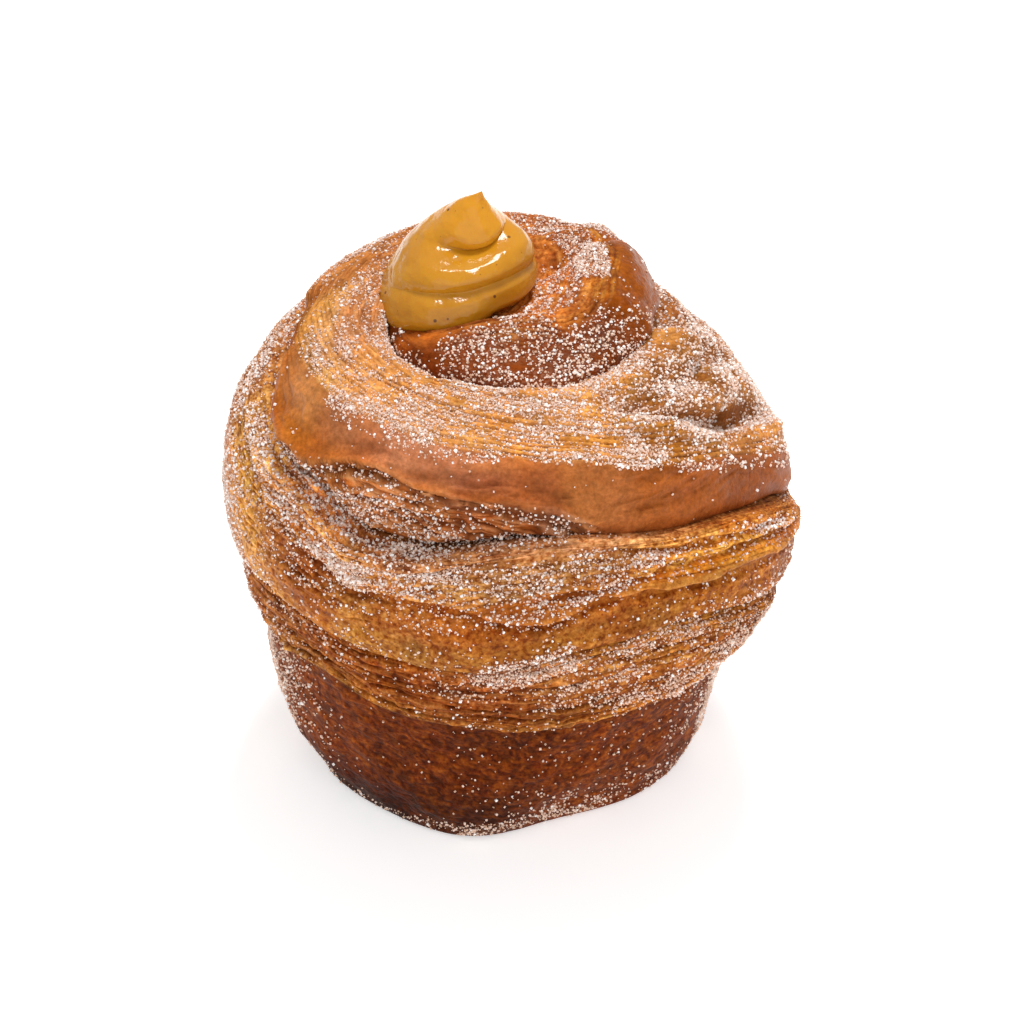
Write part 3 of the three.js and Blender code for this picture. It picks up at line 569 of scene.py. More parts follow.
# third turn
col = paint(col, BRIGHT, third * (1 - smooth(568, 600, PH)) * 0.95)
col = paint(col, BRIGHT, third_on * 0.55 * flaky * (1 - smooth(640, 680, PH)))
col = paint(col, GOLDEN, belly * (1 - 0.6 * (1 - smooth(562, 586, PH))))
col = paint(col, AMBER, belly * 0.45 * smooth(645, 690, PH))
col = paint(col, PINK, third_on * 0.95 * bell(x_crest - 0.5, 2.0) * (1 - smooth(655, 690, PH)))
col = paint(col, AMBER, third_on * 0.8 * bell(x_crest, 2.6) * smooth(655, 690, PH))
col = paint(col, AMBER, third_on * 0.9 * bell(x_low + 0.8, 1.2) + third_on * 0.9 * window(PH, 645, 10, 700, 10) * bell(V - curve(UPPER_EDGE, PH) + 0.6, 0.9))
col = paint(col, RUST, hollow * 0.55)
# inner coil
col = paint(col, AMBER, inner * 0.9)
col = paint(col, RUST, inner * window(PH, -30, 20, 60, 20) * smooth(17, 22, V))
col = paint(col, DEEP, coil_face * 0.85 * (1 - smooth(-40, 0, PH)))
# last turn
col = paint(col, BROWN, bottom * 0.9)
# the golden lip of the skirt's lower edge: its own colour and a painted highlight
col = paint(col, YELLOW, bottom * 0.75 * smooth(0.55, 1.0, S) * (1 - smooth(985, 1010, PH)) + bottom * 0.4 * smooth(0.3, 0.0, S))
col = paint(col, AMBER, bottom * 0.55 * window(S, 0.62, 0.16, 0.82, 0.12) * (0.5 + 0.5 * noise(RUN / 14, S * 3, seed=84)))
# painted highlights on the leaf edges and painted shade in the slits
col = paint(col, PALE, rim_highlight_paint * (0.40 * flaky + 0.16 * face * (1 - torn) + 0.62 * torn))
col = paint(col, TAN, rim_highlight_paint * 0.65 * bottom)
col = paint(col, DEEP, gap_shade_paint * (0.50 * flaky * (1 - third) + 0.30 * face + 0.35 * third))
col = paint(col, DARK, gap_shade_paint * (0.85 * bottom + 0.8 * torn + 0.5 * hollow))
# painted shade in the creases between the turns
col = paint(col, PAINTED_SHADE, (0.60 - 0.25 * (PH < 130)) * (1 - np.minimum(smooth(0, 1.1, A + 4 * (PH < 130)), smooth(0, 0.9, B))) * (1 - bell(V, 4)))
# painted shade in the low places of the relief, painted highlight on its raised ones
relief_light_paint = np.clip(relief / 0.7, -1, 1)
col = paint(col, col * np.array([0.62, 0.50, 0.40]), 0.75 * np.maximum(-relief_light_paint, 0))
col = paint(col, np.minimum(col * np.array([1.25, 1.32, 1.40]), 0.95), 0.55 * np.maximum(relief_light_paint, 0))


def grade(mask, r, g, b):
    global col
    col = col * (1 + np.clip(mask, 0, 1)[..., None] * (np.array([r, g, b]) - 1))


grade(third * window(PH, 530, 12, 566, 12) * window(S, 0.0, 0.2, 0.7, 0.2), 1.34, 1.58, 1.28)
grade(third * window(PH, 564, 10, 604, 12) * (1 - smooth(0.30, 0.5, S)), 1.34, 1.36, 1.25)
grade(third * window(PH, 580, 8, 600, 10) * (1 - smooth(0.06, 0.16, S)), 1.3, 1.3, 1.2)
grade(third * window(PH, 566, 10, 596, 12) * smooth(0.42, 0.6, S), 1.16, 1.30, 1.20)
grade(third_on * window(PH, 596, 8, 650, 20) * window(S, 0.22, 0.1, 0.66, 0.14), 1.06, 1.16, 1.18)
grade(third_on * window(PH, 584, 8, 596, 6) * window(S, 0.45, 0.1, 0.80, 0.1), 0.88, 0.84, 0.90)
grade(third_on * window(PH, 597, 6, 611, 6) * window(S, 0.48, 0.06, 0.74, 0.06), 1.14, 1.34, 1.8)
grade(third_on * window(PH, 610, 6, 622, 6) * window(S, 0.28, 0.06, 0.44, 0.06), 1.22, 1.28, 1.35)
grade(third_on * window(PH, 598, 5, 610, 5) * window(S, 0.04, 0.04, 0.20, 0.06), 0.66, 0.60, 0.66)
grade(third_on * window(PH, 598, 8, 612, 8) * smooth(0.70, 0.84, S), 1.08, 1.36, 1.55)
grade(third_on * window(PH, 612, 8, 660, 12) * smooth(0.62, 0.8, S), 0.78, 0.88, 1.08)
grade(third_on * smooth(652, 668, PH) * smooth(0.40, 0.56, S), 1.02, 1.24, 1.15)
grade(third_on * smooth(652, 668, PH) * window(S, 0.14, 0.1, 0.44, 0.1), 1.6, 1.85, 1.3)
grade(bottom * window(PH, 1000, 12, 1050, 20), 1.25, 1.50, 1.35)
grade(bottom * window(PH, 976, 10, 1004, 10), 0.88, 0.88, 1.15)
grade(bottom * window(PH, 930, 12, 984, 12), 1.06, 1.06, 1.05)
grade(bottom * (1 - smooth(930, 944, PH)), 1.12, 1.25, 1.15)
grade(second * window(PH, 312, 14, 372, 12) * window(S, 0.2, 0.12, 0.62, 0.12), 0.70, 0.66, 0.55)
grade(face2 * window(PH, 262, 6, 282, 6) * window(S, 0.62, 0.08, 0.92, 0.08), 0.70, 0.64, 0.74)
grade(face2 * window(PH, 282, 6, 298, 8), 0.98, 1.08, 1.5)
grade(face2 * window(PH, 190, 10, 228, 12), 0.88, 0.94, 0.95)
grade(face2 * window(PH, 228, 10, 256, 10), 0.98, 1.06, 1.32)
grade(face2 * smooth(276, 292, PH), 1.02, 1.24, 1.75)
grade(face2 * (1 - smooth(262, 290, PH)), 1.08, 1.14, 1.45)
grade(second * window(PH, 178, 12, 214, 10) * window(S, 0.50, 0.1, 0.86, 0.08), 1.15, 1.35, 1.25)
grade(inner * window(PH, -36, 14, 30, 14) * smooth(0.68, 0.84, S), 0.82, 0.72, 0.58)
grade(coil_face * (1 - smooth(-60, -20, PH)), 0.92, 0.90, 0.90)
grade(flaky * second * window(PH, 222, 20, 312, 20), 1.36, 1.46, 1.24)
grade(flaky * second * (1 - smooth(222, 240, PH)), 1.08, 1.08, 1.0)
grade(flaky * second * window(PH, 300, 20, 372, 14), 1.18, 1.18, 1.0)
grade(inner, 1.15, 1.18, 1.05)
grade(flaky * second * window(PH, 205, 12, 262, 14), 0.88, 0.89, 0.96)
grade(flaky * second * window(PH, 286, 14, 372, 14), 0.80, 0.80, 0.86)
grade(flaky * second * window(PH, 222, 14, 300, 14), 1.05, 1.06, 1.05)
grade(inner * window(PH, -44, 12, 24, 14) * window(S, 0.26, 0.1, 0.58, 0.1), 1.24, 1.34, 1.45)
grade(inner * window(PH, -62, 10, -36, 10) * smooth(0.78, 0.88, S), 0.84, 0.82, 0.80)
grade(inner * window(PH, -36, 14, 30, 14) * smooth(0.68, 0.84, S), 0.92, 1.0, 0.76)
grade(third, 0.93, 0.92, 0.90)
grade(third_on * window(PH, 634, 10, 664, 10) * window(S, 0.06, 0.04, 0.22, 0.06), 1.06, 1.08, 1.10)
grade(second * flaky * window(PH, 130, 20, 204, 20), 1.0, 0.98, 1.0)
grade(torn, 1.10, 1.12, 1.15)
grade(face2, 0.95, 0.95, 0.95)
grade(bottom, 0.92, 0.96, 0.96)
grade(bottom * window(PH, 984, 12, 1034, 14) * (1 - smooth(0.42, 0.6, S)), 1.38, 1.66, 2.1)
grade(bottom * window(PH, 930, 10, 972, 10) * smooth(0.4, 0.6, S), 1.08, 1.16, 1.3)
grade(belly * third_on * smooth(600, 616, PH) * smooth(0.5, 0.66, S), 0.94, 0.88, 0.86)
grade(inner * window(PH, -14, 10, 44, 12) * smooth(17, 20, V), 0.93, 0.97, 0.62)
grade(third * window(PH, 526, 8, 556, 8) * (1 - smooth(0.5, 0.8, S)), 1.28, 1.48, 1.22)
grade(second * window(PH, 166, 8, 204, 8) * smooth(0.66, 0.74, S), 0.92, 0.86, 0.84)
grade(second * flaky * window(PH, 205, 14, 340, 20), 0.97, 0.94, 0.90)
grade(second * window(PH, 312, 10, 362, 10) * window(S, 0.48, 0.08, 0.72, 0.08), 1.20, 1.22, 1.10)
grade(second * flaky * window(PH, 214, 10, 262, 12), 1.10, 1.12, 1.12)
# painted light on the left edge of the crown
grade(third * window(PH, 514, 8, 546, 6), 1.22, 1.30, 1.16)
grade(bottom * smooth(950, 966, PH), 1.07, 1.0, 0.84)
grade(third_on * window(PH, 641, 8, 690, 10) * window(S, 0.46, 0.08, 0.94, 0.06), 1.12, 1.22, 1.26)
grade(third_on * window(PH, 672, 8, 690, 10) * window(S, 0.24, 0.08, 0.46, 0.06), 1.12, 1.26, 1.22)
grade(third_on * window(PH, 630, 6, 644, 6) * (1 - smooth(0.08, 0.14, S)), 0.80, 0.76, 0.80)
grade(belly * third_on, 1.02, 0.95, 1.02)
grade(third_on * window(PH, 580, 6, 594, 6) * (1 - smooth(0.08, 0.16, S)), 1.40, 1.50, 1.50)
grade(third_on * window(PH, 588, 6, 602, 6) * window(S, 0.14, 0.05, 0.30, 0.08), 1.28, 1.36, 1.12)
grade(third_on * window(PH, 596, 8, 622, 8) * smooth(0.68, 0.82, S), 1.20, 1.40, 1.55)
grade(third_on * window(PH, 608, 6, 624, 6) * window(S, 0.28, 0.06, 0.46, 0.06), 1.18, 1.24, 1.22)
grade(face2 * window(PH, 196, 10, 234, 10), 0.94, 0.82, 0.66)
grade(flaky * second * window(PH, 168, 10, 206, 10) * window(S, 0.0, 0.1, 0.5, 0.1), 1.08, 1.12, 1.18)
grade(flaky * second * window(PH, 190, 10, 228, 12) * window(S, 0.16, 0.1, 0.60, 0.08), 1.04, 1.08, 1.45)
grade(third * window(PH, 524, 10, 560, 10) * window(S, 0.0, 0.1, 0.62, 0.12), 1.32, 1.42, 1.36)
grade(flaky * second * window(PH, 294, 8, 316, 10) * window(S, 0.04, 0.06, 0.34, 0.1), 1.18, 1.24, 1.24)
grade(second * window(PH, 344, 10, 362, 10) * window(S, 0.04, 0.08, 0.36, 0.1), 1.12, 1.18, 1.12)
grade(third_on * window(PH, 634, 6, 650, 6) * (1 - smooth(0.12, 0.2, S)), 1.08, 1.06, 1.0)
grade(bottom * window(PH, 1012, 8, 1034, 10) * smooth(0.66, 0.8, S), 1.14, 1.22, 1.12)
grade(third_on * window(PH, 566, 8, 588, 8) * smooth(0.8, 0.92, S), 1.14, 1.32, 1.20)
grade(third_on * window(PH, 624, 8, 646, 8) * smooth(0.70, 0.84, S), 1.22, 1.40, 1.30)
grade(bottom * window(PH, 966, 12, 1008, 12) * window(S, 0.34, 0.1, 0.84, 0.1), 0.77, 0.74, 0.64)
grade(bottom * window(PH, 1014, 8, 1052, 10) * window(S, 0.10, 0.1, 0.55, 0.1), 0.80, 0.76, 0.74)
# under the cream's edge, painted shadow darkens the crust
rr, aa = np.hypot(X + 6.2, Y - 7), np.degrees(np.arctan2(Y - 7, X + 6.2)) % 360
cream_shadow_paint = window(rr, 9, 3, 16.6, 2.0) * window(aa, 205, 12, 305, 14) * (PH < 130)
grade(cream_shadow_paint, 0.42, 0.34, 0.30)
mott = fbm(X / 9, Y / 9, Z / 9, seed=81, octaves=3)
col = col * (1 + 0.14 * mott)[..., None]

colb = np.broadcast_to(DEEP, TH.shape + (3,)).copy()
colb = paint(colb, DARK, 0.8 * smooth(-0.2, 0.7, fbm(xb / 9, yb / 9, zb / 9, seed=82) + 0.3 * bell(wrap(TH - 270), 40)))
colb = paint(colb, RUST, 0.75 * bell(wrap(TH - 205), 26) + 0.45 * window(TH, 300, 30, 345, 20) + 0.35 * window(TH, 20, 30, 160, 30))
# painted highlight on the edges of the base's leaves, painted shade in their slits
colb = paint(colb, AMBER, 0.30 * rim_light_step_b * wall)
colb = paint(colb, PAINTED_SHADE, 0.55 * gap_shade_b)
# painted shadow along the top of the base, under the skirt's overhang
colb = paint(colb, PAINTED_SHADE, 0.8 * (1 - smooth(0.0, 0.16, U)))
colb = paint(colb, AMBER, 0.8 * smooth(1.0, 0.0, zb) * smooth(31, 24, np.hypot(xb, yb)))
# painted shade: these two lines darken the lower left of the base towards the floor; the constant factor at the end of
# the first one tints the whole base
colb = colb * (1 - 0.45 * window(TH, 205, 14, 262, 24) * smooth(16, 4, zb))[..., None] * (1 - 0.4 * window(TH, 208, 10, 236, 12) * smooth(9, 3, zb))[..., None] * np.array([0.80, 0.71, 0.43])
colb = colb * (1 - (window(TH, 198, 12, 240, 14) * smooth(14, 8, zb))[..., None] * np.array([0.34, 0.50, 0.70]))

# ------------------------------------------------------------------ sugar cover, 0 to 1: what share of the crust the grains hide
cover = np.zeros_like(PH)
fine_only = np.zeros_like(PH)  # where the sugar is fine and half melted rather than loose


def sugar(mask, amount):
    global cover
    cover = np.maximum(cover, mask * amount)


sugar(0 * PH + 1, 0.004)
tight = np.maximum(window(PH, 274, 12, 312, 8), window(PH, 194, 6, 214, 8))  # where the sugar stops short of the shoulder
dusted = 1 - smooth(lerp(0.6, -1.2, tight), lerp(3.4, 1.0, tight), X_SH)
TOP_AMOUNT = [(120, 0.02), (140, 0.24), (165, 0.30), (188, 0.42), (205, 0.42), (240, 0.60), (265, 0.64), (290, 0.62), (308, 0.54), (332, 0.34), (350, 0.22), (365, 0.27), (385, 0.32), (420, 0.38), (540, 0.34)]
top = second * dusted * (1 - (1 - smooth(180, 206, PH)) * window(S, 0.60, 0.06, 0.78, 0.06) * 0.75)
sugar(second * window(PH, 104, 10, 140, 12) * smooth(0.46, 0.58, S), 0.72)
sugar(second * window(PH, 196, 8, 228, 8) * window(S, 0.10, 0.05, 0.30, 0.06), 0.54)
sugar(second * window(PH, 262, 8, 300, 8) * window(S, 0.30, 0.06, 0.48, 0.04), 0.56)
sugar(top, 1.14 * curve(TOP_AMOUNT, PH))
sugar(second * bell(A - 0.8, 1.6) * smooth(206, 240, PH) * (1 - smooth(290, 305, PH)), 0.52)
sugar(second * window(PH, 126, 20, 180, 14) * smooth(0.74, 0.84, S), 0.38)
lower_lip = second * (1 - smooth(266, 288, PH)) * (1 - flaky)
sugar(lower_lip * (1 - smooth(0.5, 3.5, B)), 0.15)
sugar(lower_lip * (1 - smooth(2, 8, B)), 0.04)
sugar(flaky * back, 0.32)
sugar(window(PH, 430, 30, 545, 12) * (1 - flaky), 0.12)
# inner coil: its crest, its dark face and the white drift behind the cream
sugar(inner * window(PH, -66, 14, -8, 14) * window(V, 12.2, 1.2, 15.4, 1.4), 0.34)
sugar(inner * window(PH, -66, 8, -46, 8) * window(S, 0.56, 0.04, 0.70, 0.04), 0.30)
sugar(inner * window(PH, -34, 14, 24, 14) * window(V, 12.0, 2.0, 17.0, 1.4), 0.38)
sugar(coil_face * window(PH, -104, 16, -66, 30) * smooth(14.0 + 0.05 * np.abs(PH + 60), 15.5 + 0.05 * np.abs(PH + 60), V), 0.30)
sugar(coil_face * window(PH, -100, 12, -30, 20) * smooth(13.5, 15.0, V), 0.30)
sugar(coil_face * window(PH, -112, 16, -20, 26) * smooth(21.0, 24.0, V), 0.24)
sugar(inner * window(PH, -144, 12, -60, 20) * smooth(2.4, 0.6, B), 0.2)
sugar(inner * window(PH, 2, 10, 72, 14) * window(V, 17.4 + 0.034 * PH, 1.2, 20.8 + 0.03 * PH, 1.2), 0.74)
sugar(inner * window(PH, 46, 10, 84, 20) * window(V, 21.5, 1.0, 24.0, 2.0), 0.46)
sugar(inner * window(PH, 46, 8, 100, 30) * smooth(22, 24, V), 0.46)
sugar(inner * smooth(16, 20, V) * window(PH, -110, 10, 90, 20) * (1 - 0.8 * window(PH, -14, 8, 40, 8)), 0.06)
# third turn
sugar(window(PH, 530, 14, 556, 12), 0.09 + 0.30 * smooth(0.3, 0.6, S) + 0.22 * smooth(0.8, 0.95, S))
sugar(window(PH, 556, 12, 574, 10) * window(S, 0.06, 0.05, 0.26, 0.10), 0.32)
sugar(window(PH, 556, 12, 574, 10), 0.10)
sugar(window(PH, 574, 10, 592, 8) * (1 - smooth(0.34, 0.9, S)), 0.29)
sugar(hollow, 0.58)
sugar(third_on * window(PH, 590, 12, 622, 10) * window(x_low, -6.5, 1.0, 0.4, 0.8), 0.48)
sugar(third_on * window(PH, 610, 10, 640, 10) * (1 - smooth(0.06, 0.12, S)), 0.40)
sugar(third_on * window(PH, 612, 10, 652, 10) * window(x_low, -8.5, 2.0, -0.6, 1.0) * (1 - bell(x_crest, 1.0)), 0.31)
between = bell((curve(THIRD_CREST, PH) + curve(UPPER_EDGE, PH)) / 2 + 0.8 - V, 1.5)
sugar(third_on * window(PH, 640, 12, 700, 10) * between, 0.31)
sugar(third_on * window(PH, 650, 12, 704, 8) * bell((curve(LOWER_EDGE, PH) + curve(UPPER_EDGE, PH)) / 2 + 0.5 - V, 0.8), 0.14)
sugar(torn * smooth(2.0, 5.0, x_torn), 0.27)
sugar(torn, 0.10)
sugar(belly * third_on, 0.045)
sugar(third_on * window(PH, 596, 8, 640, 12) * window(S, 0.40, 0.06, 0.60, 0.10), 0.15)
sugar(belly * third_on * window(PH, 627, 5, 642, 5) * smooth(0.86, 0.94, S), 0.36)
sugar(belly * third_on * window(x_low, -0.2, 0.5, 2.2, 2.0) * (1 - smooth(640, 670, PH)), 0.10)
sugar(third * window(PH, 628, 8, 642, 8) * bell(B - 1.6, 1.0), 0.08)
sugar(window(PH, 672, 16, 712, 20) * smooth(0.72, 1.0, S), 0.26)
sugar(smooth(694, 724, PH) * (1 - bottom), 0.06 + 0.5 * smooth(0.78, 1.0, S))
# last turn
sugar(window(PH, 896, 8, 912, 8) * window(S, 0.12, 0.06, 0.40, 0.08), 0.30)
sugar(window(PH, 896, 8, 912, 8) * smooth(0.46, 0.56, S), 0.60)
sugar(bottom, 0.042)
sugar(bottom * (1 - smooth(908, 920, PH)), 0.08)
sugar(bottom * smooth(1040, 1052, PH), 0.18 + 0.28 * smooth(0.2, 0.4, S))
sugar(bottom * window(PH, 928, 8, 952, 8) * window(S, 0.10, 0.05, 0.38, 0.05), 0.13)
sugar(bottom * window(PH, 968, 10, 1036, 16) * (1 - smooth(0.12, 0.24, S)), 0.19)
sugar(bottom * window(PH, 984, 10, 1020, 10) * smooth(0.86, 0.94, S), 0.12)
sugar(bottom * window(PH, 984, 5, 1002, 5) * (1 - smooth(0.12, 0.28, S)), 0.70)
sugar(bottom * window(PH, 1006, 6, 1036, 12) * (1 - smooth(0.14, 0.30, S)), 0.40)
sugar(bottom * window(PH, 974, 10, 1040, 14) * window(S, 0.10, 0.08, 0.40, 0.10), 0.15)
sugar(bottom * window(PH, 998, 6, 1040, 10) * window(S, 0.39, 0.05, 0.60, 0.08), 0.32)
sugar(bottom * window(PH, 974, 8, 1010, 20) * smooth(0.6, 0.7, S), 0.035)
sugar(bottom * window(PH, 1012, 10, 1050, 12) * window(S, 0.36, 0.1, 0.85, 0.08), 0.30)
sugar(bottom * window(PH, 974, 14, 1040, 20) * smooth(0.34, 0.05, S), 0.11)
sugar(bottom * window(PH, 1018, 16, 1060, 20) * smooth(0.9, 0.5, S), 0.08)
sugar(bottom * window(PH, 912, 10, 926, 14) * window(S, 0.5, 0.1, 0.75, 0.1), 0.2)
clump = 0.55 * fbm(X / 3.6, Y / 3.6, Z / 3.6, seed=91, octaves=3) + 0.55 * fbm(RUN / 7, QQ / 1.7, seed=93, octaves=2)
cover = np.clip(cover * (1 + (1.5 + 0.4 * second) * clump), 0, 0.95) * (1 - 0.6 * bell(np.minimum(A, B), 0.5) * (PH > 130))
cover = cover * (1 - 0.86 * second * window(PH, 166, 8, 206, 6) * smooth(0.66, 0.74, S))
cover = cover * (1 - 0.68 * third_on * bell(x_crest - 0.8, 1.2) * window(PH, 588, 8, 646, 10))
cover = cover * (1 - 0.9 * (np.hypot(X + 6, Y - 8) < 9.0) * (Z > 78))
fine_only = np.clip(second * dusted * (1 - smooth(292, 330, PH)) + 0.6 * inner * smooth(-10, 10, PH) + 0.7 * bottom + 0.4 * belly, 0, 1)

cover_b = 0.006 + 0 * TH
cover_b = np.maximum(cover_b, 0.92 * bell(wrap(TH - 188), 10) * smooth(3, 11, zb))
cover_b = np.maximum(cover_b, 0.26 * bell(wrap(TH - 205), 9) * smooth(8, 13, zb))
cover_b = np.maximum(cover_b, 0.09 * bell(wrap(TH - 205), 16))
cover_b = np.maximum(cover_b, 0.03 * window(TH, 262, 16, 345, 20))
cover_b = np.maximum(cover_b, (0.20 + 0.22 * smooth(238, 256, TH)) * smooth(lerp(3.6, 7.0, smooth(238, 262, TH)), 1.6, zb) * window(TH, 205, 12, 310, 25))
cover_b = np.maximum(cover_b, 0.27 * window(TH, 286, 10, 326, 14) * smooth(10, 4, zb))
cover_b = np.maximum(cover_b, 0.06 * window(TH, 272, 8, 292, 8) * smooth(17, 9, zb))
cover_b = np.maximum(cover_b, 0.024 * window(TH, 262, 20, 400, 20) + 0.30 * smooth(6, 2, zb) * window(TH, 296, 16, 400, 20))
cover_b = np.maximum(cover_b, 0.10 * window(TH, 326, 12, 400, 20) * smooth(9, 15, zb))
cover_b = np.maximum(cover_b, 0.60 * window(TH, 343, 9, 356, 8))
cover_b = np.maximum(cover_b, 0.20 * window(TH, -5, 10, 185, 20))
clump_b = fbm(xb / 4.5, yb / 4.5, zb / 4.5, seed=92, octaves=3)
cover_b = np.clip(cover_b * (1 + 1.5 * clump_b), 0, 0.95) * smooth(0.6, 2.2, zb) * smooth(0.05, 0.16, U)
cover_b *= 1 - 0.75 * window(TH, 236, 12, 262, 14) * window(zb, 5.5, 1.5, 9, 2)

# painted shade between the sugar grains: the crust darkens where the cover is dense, less on the dusted top
grain_shade_paint = np.clip(cover, 0, 0.6)[..., None] * (1 - 0.9 * second * dusted)[..., None]
tone = np.vstack([(col * (1 - grain_shade_paint * np.array([0.30, 0.58, 0.80]))).reshape(-1, 3), colb.reshape(-1, 3)])[merge] * np.array([0.86, 0.71, 0.46])
even = np.r_[np.clip(1.0 * face * (1 - 0.95 * belly) * (1 - 0.55 * third_on) + 0.75 * second * dusted + 0.35 * inner, 0, 1).ravel(), 0 * cover_b.ravel()][merge]
flake = np.r_[np.maximum(flaky, bottom).ravel(), (0.6 * wall).ravel()][merge]
gloss = np.r_[(face * (1 - 0.4 * belly) * (1 - bottom) + 0.5 * inner * window(PH, -30, 20, 60, 20)).ravel(), 0.25 * wall.ravel()][merge]
covered = np.r_[cover.ravel(), cover_b.ravel()][merge]
fine_only_all = np.r_[fine_only.ravel(), 0.6 + 0 * cover_b.ravel()][merge]
# share of tan grains rather than white ones: 0 white, 1 tan
tanned = np.clip(np.maximum(0.42 * second * dusted * (1 - 0.6 * smooth(300, 340, PH)), bottom * (1 - 0.7 * (1 - smooth(912, 928, PH)))) + 0.35 * coil_face, 0, 1)
tanned_all = np.r_[tanned.ravel(), 1 + 0 * cover_b.ravel()][merge]

# the strip's own map, in centimetres along and across, for streaks that follow the dough
uv = np.vstack([np.stack([RUN, QQ], -1).reshape(-1, 2), np.stack([run_b, zb + 200], -1).reshape(-1, 2)]) / 10.0


# ------------------------------------------------------------------ mesh making
def mesh_from(name, pts_mm, tris, corner_uv=None, attrs=None, smooth_faces=True):
    used, inv = np.unique(tris, return_inverse=True)
    t = inv.reshape(tris.shape)
    me = bpy.data.meshes.new(name)
    me.vertices.add(len(used))
    me.vertices.foreach_set("co", (pts_mm[used] / 1000.0).astype(np.float32).ravel())
    me.loops.add(t.size)
    me.loops.foreach_set("vertex_index", t.astype(np.int32).ravel())
    me.polygons.add(len(t))
    me.polygons.foreach_set("loop_start", np.arange(0, t.size, 3, dtype=np.int32))
    me.polygons.foreach_set("use_smooth", np.full(len(t), smooth_faces))
    if corner_uv is not None:
        layer = me.uv_layers.new(name="Strip")
        layer.uv.foreach_set("vector", corner_uv.astype(np.float32).ravel())
    for key, data in (attrs or {}).items():
        data = data[used]
        if data.ndim == 2:
            a = me.attributes.new(key, "FLOAT_COLOR", "POINT")
            a.data.foreach_set("color", np.c_[data, np.ones(len(data))].astype(np.float32).ravel())
        else:
            a = me.attributes.new(key, "FLOAT", "POINT")
            a.data.foreach_set("value", data.astype(np.float32).ravel())
    me.validate(clean_customdata=False)
    me.update()
    ob = bpy.data.objects.new(name, me)
    bpy.context.scene.collection.objects.link(ob)
    return ob


corner = np.vstack([all_quads[:, [0, 1, 2]], all_quads[:, [0, 2, 3]]])
tris = merge[corner]
keep = (tris[:, 0] != tris[:, 1]) & (tris[:, 1] != tris[:, 2]) & (tris[:, 2] != tris[:, 0])
corner, tris = corner[keep], tris[keep]
dough = mesh_from("dough_crust", points, tris, uv[corner.ravel()], {"Tone": tone, "Flake": flake, "Gloss": gloss, "Cover": covered, "Even": even})

# ------------------------------------------------------------------ cream: a piped swirl, lofted between profiles at eleven angles
# each profile runs from the foot to the tip: foot, lower ring (three), groove, upper ring (two), fold under the peak, peak (three), tip
CREAM_AXIS = [(-6.2, 7.0)] * 7 + [(-4.9, 8.4), (-4.8, 8.4), (-4.6, 8.3), (-4.1, 8.2), (-3.4, 8.0), (-2.6, 7.8)]
CREAM_RING = {
    0: [(8.6, 82.6), (11.2, 84.8), (12.5, 87.0), (12.4, 88.8), (11.8, 90.0), (12.1, 91.4), (10.8, 94.2), (6.2, 96.0), (5.2, 97.0), (3.9, 98.5), (2.3, 100.5), (1.1, 101.6), (0, 102.7)],
    45: [(10.4, 81.0), (12.0, 84.0), (12.3, 86.4), (12.3, 88.3), (11.9, 89.4), (11.8, 91.0), (9.8, 94.0), (6.8, 95.8), (5.5, 97.0), (3.8, 98.6), (2.1, 100.5), (0.9, 101.6), (0, 102.7)],
    90: [(11.0, 80.0), (12.0, 83.0), (12.1, 86.0), (12.0, 87.8), (11.7, 88.8), (11.3, 90.4), (9.4, 93.0), (7.3, 95.2), (5.7, 96.8), (3.9, 98.6), (2.0, 100.5), (0.9, 101.6), (0, 102.7)],
    135: [(12.0, 80.0), (12.8, 82.2), (13.0, 84.2), (12.6, 85.6), (12.3, 86.6), (11.9, 88.6), (10.0, 91.8), (8.0, 94.7), (5.9, 96.8), (4.0, 98.6), (2.3, 100.4), (1.1, 101.4), (0, 102.7)],
    180: [(11.6, 79.4), (13.4, 81.6), (13.9, 83.6), (13.5, 85.2), (12.9, 86.4), (11.9, 88.6), (9.8, 91.9), (8.3, 94.6), (5.7, 96.8), (4.0, 98.7), (2.5, 100.6), (1.6, 101.3), (0, 102.7)],
    210: [(11.8, 79.4), (14.2, 82.0), (14.9, 84.6), (14.0, 87.2), (12.7, 88.8), (11.7, 90.6), (9.3, 93.2), (7.2, 95.3), (5.6, 97.0), (4.0, 98.7), (2.2, 100.6), (1.2, 101.4), (0, 102.7)],
    240: [(12.0, 80.6), (15.0, 83.8), (15.9, 86.4), (14.4, 89.2), (12.4, 90.5), (11.9, 92.0), (9.9, 93.9), (6.4, 95.0), (5.9, 96.7), (4.1, 98.7), (2.1, 100.7), (0.9, 101.5), (0, 102.7)],
    270: [(10.6, 80.6), (13.8, 84.0), (14.9, 86.9), (13.5, 89.7), (11.5, 91.0), (11.4, 92.4), (9.5, 93.8), (6.2, 94.7), (6.3, 96.1), (4.2, 98.6), (2.0, 100.8), (0.8, 101.6), (0, 102.7)],
    300: [(7.6, 82.6), (10.8, 85.6), (12.3, 88.0), (12.0, 90.2), (10.7, 91.4), (10.9, 92.7), (9.2, 94.2), (6.3, 94.9), (6.2, 96.2), (4.1, 98.7), (1.9, 100.8), (0.8, 101.6), (0, 102.7)],
    330: [(7.6, 82.8), (10.8, 85.4), (12.3, 87.8), (11.9, 89.8), (10.8, 91.0), (11.0, 92.6), (9.3, 94.6), (6.2, 95.7), (5.8, 96.8), (3.8, 98.6), (1.9, 100.7), (0.9, 101.6), (0, 102.7)],
}
CREAM_ANGLES = sorted(CREAM_RING)
CREAM_KEYS = len(CREAM_AXIS) - 1


